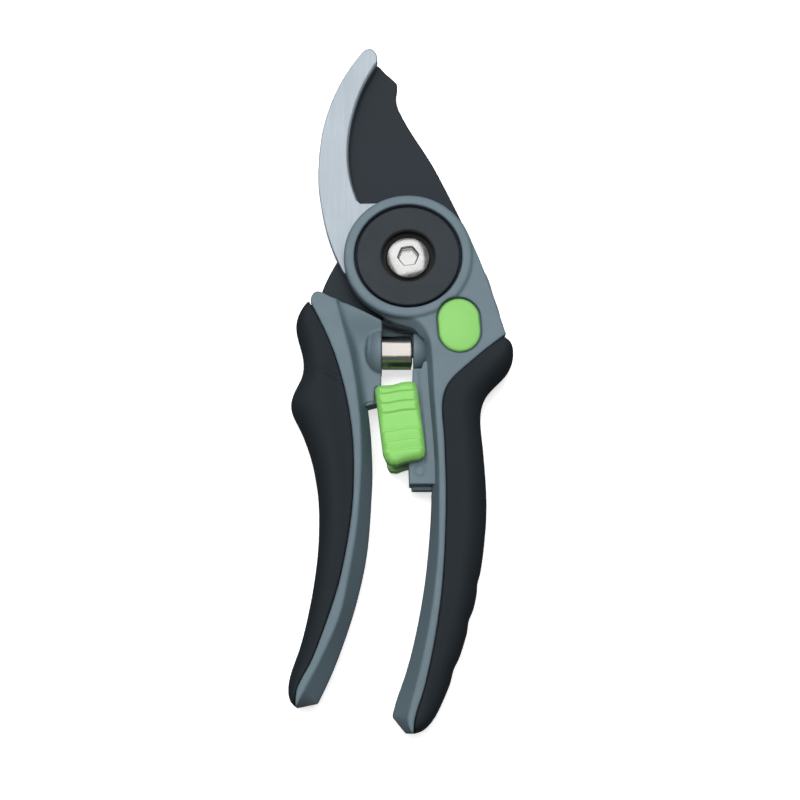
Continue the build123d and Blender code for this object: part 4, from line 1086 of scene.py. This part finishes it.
def slider():
    g = Grid((-6.4, -12.8, 13.0), (6.5, 12.8, 19.2), (0.2, 0.2, 0.18))
    d = sd(g, SLIDER_AB)
    # thumb face: wave-like steps at both ends, a soft dish in the middle
    a = g.x * np.ones_like(g.y)
    b = g.y * np.ones_like(g.x) - 0.12 * np.sin(a * 0.75 + 0.6)
    top = 18.55 - 0.35 * np.exp(-((b + 1.0) / 3.2) ** 2)
    for b0, k in ((9.6, 0.34), (6.7, 0.36), (3.9, 0.36)):
        top += k * ease((b - b0 + 0.35) / 0.7) \
            - k * ease((b - b0 - 0.3) / 2.6)
    for b0, k in ((-1.6, 0.40), (-4.6, 0.36), (-7.6, 0.36)):
        top += k * ease((b0 - b + 0.35) / 0.7) \
            - k * ease((b0 - b - 0.3) / 2.6)
    for b0 in (-1.3, -4.4, -7.5):
        top -= 0.17 * np.exp(-((b - b0) / 0.30) ** 2)
    for b0 in (9.9, 7.0, 4.2):
        top -= 0.05 * np.exp(-((b - b0 + 0.55) / 0.30) ** 2)
    top = np.minimum(top, 18.98)
    f = smax(d[:, :, None], g.Z - top[:, :, None], 0.35)
    # bevels along both sides and the lower end
    f = smax(f, (d[:, :, None] * 1.15 + 1.35 + (g.Z - 18.6)) * 0.66, 0.5)
    f = smax(f, 14.2 - g.Z, 0.3)
    nose = smax(np.abs(g.x + 5.15) - 1.0 + 0 * g.y,
                np.abs(g.y - 9.1) - 1.15 + 0 * g.x, 0.2)
    f = smin(f, np.maximum(np.maximum(nose[:, :, None], 13.25 - g.Z),
                           g.Z - 14.6), 0.1)
    solid("slider_thumb_plate", g, f, GREEN_SLIDE, "slider",
          ["lock_slider"], to_world)
    g = Grid((-2.3, -1.3, 6.1), (1.9, 8.1, 14.4), (0.25, 0.25, 0.25))
    br = np.hypot(g.x + 0.2, np.maximum(np.abs(g.y - 3.4) - 2.7, 0)) - 1.8
    f = smax(smax(br[:, :, None], g.Z - 14.3, 0.1), 6.2 - g.Z, 0.2)
    solid("slider_bridge", g, f, GREEN_SLIDE, "slider", (),
          to_world)
    g = Grid((-6.4, -12.8, 0.8), (6.5, 12.8, 6.0), (0.26, 0.26, 0.24))
    d = sd(g, SLIDER_AB)
    d = smax(d, np.abs(g.x) - 5.3 + 0 * g.y, 1.0)
    f = smax(smax(d[:, :, None], 1.0 - g.Z, 1.6), g.Z - 5.75, 0.4)
    for b0 in (10.6, -8.6):
        f = smax(f, -np.maximum(np.abs(g.Y - b0) - 0.35, g.Z - 1.35), 0.3)
    for b0 in (1.0, 5.8):
        r = np.hypot(g.x + 0.2, g.y - b0)[:, :, None]
        f = smax(f, -np.maximum(r - 1.75, g.Z - 2.6), 0.25)
    solid("slider_rear_plate", g, f, GREEN_SLIDE, "slider",
          ["slider_rear"], to_world)


# ---------------------------------------------------------------------------
# Screws, driven from the rear: pan heads with a cross recess
# ---------------------------------------------------------------------------
def screws(name, spots, z0, head_r, head_h, shank_r, z1, body, node):
    g = Grid((-head_r - 0.1, -head_r - 0.1, z0 - 0.05),
             (head_r + 0.1, head_r + 0.1, z0 + head_h + 0.1),
             (0.11, 0.11, 0.1))
    r = np.hypot(g.x, g.y)[:, :, None]
    low = z0 + 0.16 * (np.clip(r, 0, 9) / head_r) ** 2.2 - g.Z
    f = smax(smax(r - head_r, low, 0.25), g.Z - z0 - head_h, 0.1)
    w = 0.22 * head_r
    arm = head_r * 0.62
    cross = np.minimum(np.maximum(np.abs(g.X) - w * 0.6, np.abs(g.Y) - arm),
                       np.maximum(np.abs(g.Y) - w * 0.6, np.abs(g.X) - arm))
    taper = (r - arm + (g.Z - z0) * 0.7) * 0.8
    f = smax(f, -np.maximum(np.maximum(cross, taper),
                            g.Z - z0 - head_h * 0.75), 0.08)
    points, normals, quads = largest(*surface(g, f))
    sp, sf = lathe([(0.02, z0 + head_h - 0.05), (shank_r, z0 + head_h - 0.05),
                    (shank_r, z1), (0.02, z1)], 32)
    P, N, F = [], [], []
    for k, (x, y) in enumerate(spots):
        base = sum(len(p) for p in P)
        P.append(points + (x, y, 0))
        N.append(normals)
        turn = math.radians(25 * k + 10)
        c, s = math.cos(turn), math.sin(turn)
        rot = np.array([[c, s, 0], [-s, c, 0], [0, 0, 1]])
        P[-1] = points @ rot + (x, y, 0)
        N[-1] = normals @ rot
        F += (quads + base).tolist()
    head = make(name + "_heads", np.concatenate(P), F, PLAIN, body,
                np.concatenate(N), cad=[node])
    SP, SF = [], []
    for x, y in spots:
        base = len(SP)
        SP += [(px + x, py + y, pz) for px, py, pz in sp]
        SF += [tuple(i + base for i in f) for f in sf]
    fix(make(name + "_shanks", SP, SF, PLAIN, body))


def spring():
    turns, per = 3.2, 9
    count = int(turns * per)
    yc, zc = -28.0, 10.0

    def at(t):
        """Angle, radius and the strip's two edges along x, at turn t."""
        a = math.radians(-118) + t * 2 * math.pi
        r = 5.5 - 0.78 * t
        if t < 0.22:
            r += 0.75 * (1 - t / 0.22) ** 2
        f = t / turns
        left = -7.95 + 0.55 * f + (1.0 * (1 - t / 0.35) ** 2 if t < 0.35
                                   else 0)
        right = 0.75 + 0.5 * f - (3.4 * (1 - t / 0.30) if t < 0.30 else 0)
        return a, r, left, right

    for k in range(count):
        t0, t1 = k * turns / count, (k + 1) * turns / count
        n = 6
        pts, faces = [], []
        for i in range(n + 1):
            t = t0 + (t1 - t0) * i / n
            a, r, x0, x1 = at(t)
            th = 0.26
            b = 0.12
            for x, rr in ((x0 + b, r), (x1 - b, r), (x1, r - b),
                          (x1, r - 2 * th + b), (x1 - b, r - 2 * th),
                          (x0 + b, r - 2 * th), (x0, r - 2 * th + b),
                          (x0, r - b)):
                pts.append((x, yc + rr * math.cos(a), zc + rr * math.sin(a)))
        for i in range(n):
            for j in range(8):
                m = (j + 1) % 8
                faces.append((i * 8 + j, i * 8 + m, (i + 1) * 8 + m,
                              (i + 1) * 8 + j))
        if k == 0:
            faces.append(tuple(range(8))[::-1])
        if k == count - 1:
            faces.append(tuple(n * 8 + j for j in range(8)))
        cad = ["volute_spring"] if k == 0 else ()
        ob = make(f"volute_strip_{k:02d}", pts, faces, SPRING, "left_handle",
                  cad=cad, free=True)
        fix(ob)
        a0, r0 = at(t0)[:2]
        a1, r1 = at(t1)[:2]
        p0 = np.array((0.0, yc + r0 * math.cos(a0), zc + r0 * math.sin(a0)))
        p1 = np.array((0.0, yc + r1 * math.cos(a1), zc + r1 * math.sin(a1)))
        c = p1 - p0
        length = np.linalg.norm(c)
        c /= length
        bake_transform(ob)


# ---------------------------------------------------------------------------
# Build everything
# ---------------------------------------------------------------------------
right_front()
right_rear()
left_front()
left_rear()
grip("right_soft_grip", R_OUTER, R_SEAM,
     [(-20.0, -144.0), (-40.0, 20.0), (26.0, -20.0), (27.6, -22.2)],
     [(34.0, -18.0), (60.0, -60.0), (40.0, -150.0), (2.0, -150.0)],
     (0.5, -139, -0.2), (31.5, -23, 20.2), "right_handle", "right_grip",
     [(28.8, -24.0, 13.0, 2.2), (1.3, -138.2, 16.0, 3.0)],
     dents=[(20.9, -96.7, 1.9, 0.5), (17.9, -107.2, 2.1, 0.55),
            (13.6, -120.9, 2.6, 0.55)], radius=10.0, power=2.3)
grip("left_soft_grip",
     [(-29.6, -12.7), (-31.0, -14.2)] + L_OUTER[3:], L_SEAM,
     [(-28.0, -140.0), (20.0, -140.0), (20.0, 0.0), (-27.5, -10.6)],
     [(-29.8, -12.6), (-31.0, -8.0), (-60.0, -20.0), (-60.0, -140.0),
      (-31.0, -136.0)],
     (-35, -132, -0.2), (-15.5, -12.5, 20.2), "left_handle", "left_grip",
     [(-29.4, -13.4, 12.0, 2.0), (-31.3, -131.2, 14.0, 3.0)],
     crease=spline([(-31.6, -36.4), (-28.6, -35.4), (-24.5, -35.6),
                    (-20.5, -37.4)]), radius=8.0, power=2.3)
hook()
blade()
pivot()
badge()
blocks()
slider()
screws("right_handle_screw", R_SCREWS, 2.2, 1.9, 1.5, 1.1, 12.4,
       "right_handle", "right_shell_screws")
screws("left_handle_screw", L_SCREWS, 2.2, 1.9, 1.5, 1.1, 12.4,
       "left_handle", "left_shell_screws")
SLIDE_SPOTS = [(SLIDE_C[0] - 0.2 * math.cos(LEAN) - b * math.sin(LEAN),
                SLIDE_C[1] - 0.2 * math.sin(LEAN) + b * math.cos(LEAN))
               for b in (1.0, 5.8)]
screws("slider_screw", SLIDE_SPOTS, 1.2, 1.6, 1.4, 0.8, 11.6, "slider",
       "slider_screws")
spring()

for node, mat in (("thrust_washer", BRASS), ("pivot_bush", BRASS),
                  ("bolt_washer", WASHER_PAINTED_SHADE), ("nut_washer", PLAIN),
                  ("pivot_nut", PLAIN), ("detent_spring", SPRING)):
    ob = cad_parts[node]
    for s in ob.material_slots:
        s.material = mat

# ---------------------------------------------------------------------------
# Floor, light and camera
# ---------------------------------------------------------------------------
def floor():
    m, nt, b = start("pale_floor")
    v = coords(nt)
    col = ramp(nt, noise(nt, v, 9, 2.0), (0.3, (0.90, 0.90, 0.90)),
               (0.7, (0.92, 0.92, 0.92)))
    nt.links.new(col, b.inputs["Base Color"])
    b.inputs["Roughness"].default_value = 0.9
    b.inputs["Specular IOR Level"].default_value = 0.1
    nt.links.new(col, b.inputs["Emission Color"])
    b.inputs["Emission Strength"].default_value = 0.72
    me = bpy.data.meshes.new("floor")
    s = 4.0
    me.from_pydata([(-s, -s, -0.0002), (s, -s, -0.0002), (s, s, -0.0002),
                    (-s, s, -0.0002)], [],
                   [(0, 1, 2, 3)])
    me.materials.append(m)
    ob = bpy.data.objects.new("floor", me)
    bpy.context.scene.collection.objects.link(ob)
    ob.visible_diffuse = False
    ob.visible_glossy = False


def softbox(name, place, target, size, power, colour=(1, 1, 1),
            diffuse=True, glossy=True):
    from mathutils import Vector
    li = bpy.data.lights.new(name, "AREA")
    li.shape = "RECTANGLE"
    li.size, li.size_y = size
    li.energy = power
    li.color = colour
    ob = bpy.data.objects.new(name, li)
    ob.location = place
    d = Vector(target) - Vector(place)
    ob.rotation_euler = d.to_track_quat("-Z", "Y").to_euler()
    ob.visible_diffuse = diffuse
    ob.visible_glossy = glossy
    bpy.context.scene.collection.objects.link(ob)


floor()
softbox("top_softbox", (-0.06, 0.40, 0.92), (0, 0.17, 0), (1.9, 2.3), 19.2,
        (1.0, 0.998, 0.99), diffuse=False)
softbox("key_softbox", (-0.05, 0.16, 0.95), (0, -0.03, 0), (0.6, 0.6), 8.7,
        (1.0, 0.998, 0.99), glossy=False)
softbox("left_strip", (-0.95, 0.0, 0.33), (0, -0.03, 0), (1.2, 0.3), 1.1,
        (0.97, 0.985, 1.0))
softbox("right_strip", (0.95, 0.0, 0.33), (0, -0.03, 0), (1.2, 0.3), 0.7,
        (0.97, 0.985, 1.0))

world = bpy.data.worlds.new("studio")
world.use_nodes = True
bg = world.node_tree.nodes["Background"]
bg.inputs["Color"].default_value = (0.93, 0.96, 1.0, 1)
bg.inputs["Strength"].default_value = 0.14
bpy.context.scene.world = world

cam = bpy.data.cameras.new("photo_camera")
cam.lens = 59.985
cam.sensor_width = 36.0
cam.clip_start = 0.01
cam.dof.use_dof = False
co = bpy.data.objects.new("photo_camera", cam)
co.location = (-0.002438, -0.131009, 0.394876)
co.rotation_euler = (math.radians(13.0), 0, 0)
bpy.context.scene.collection.objects.link(co)
bpy.context.scene.camera = co
bpy.context.scene.view_settings.view_transform = "Standard"
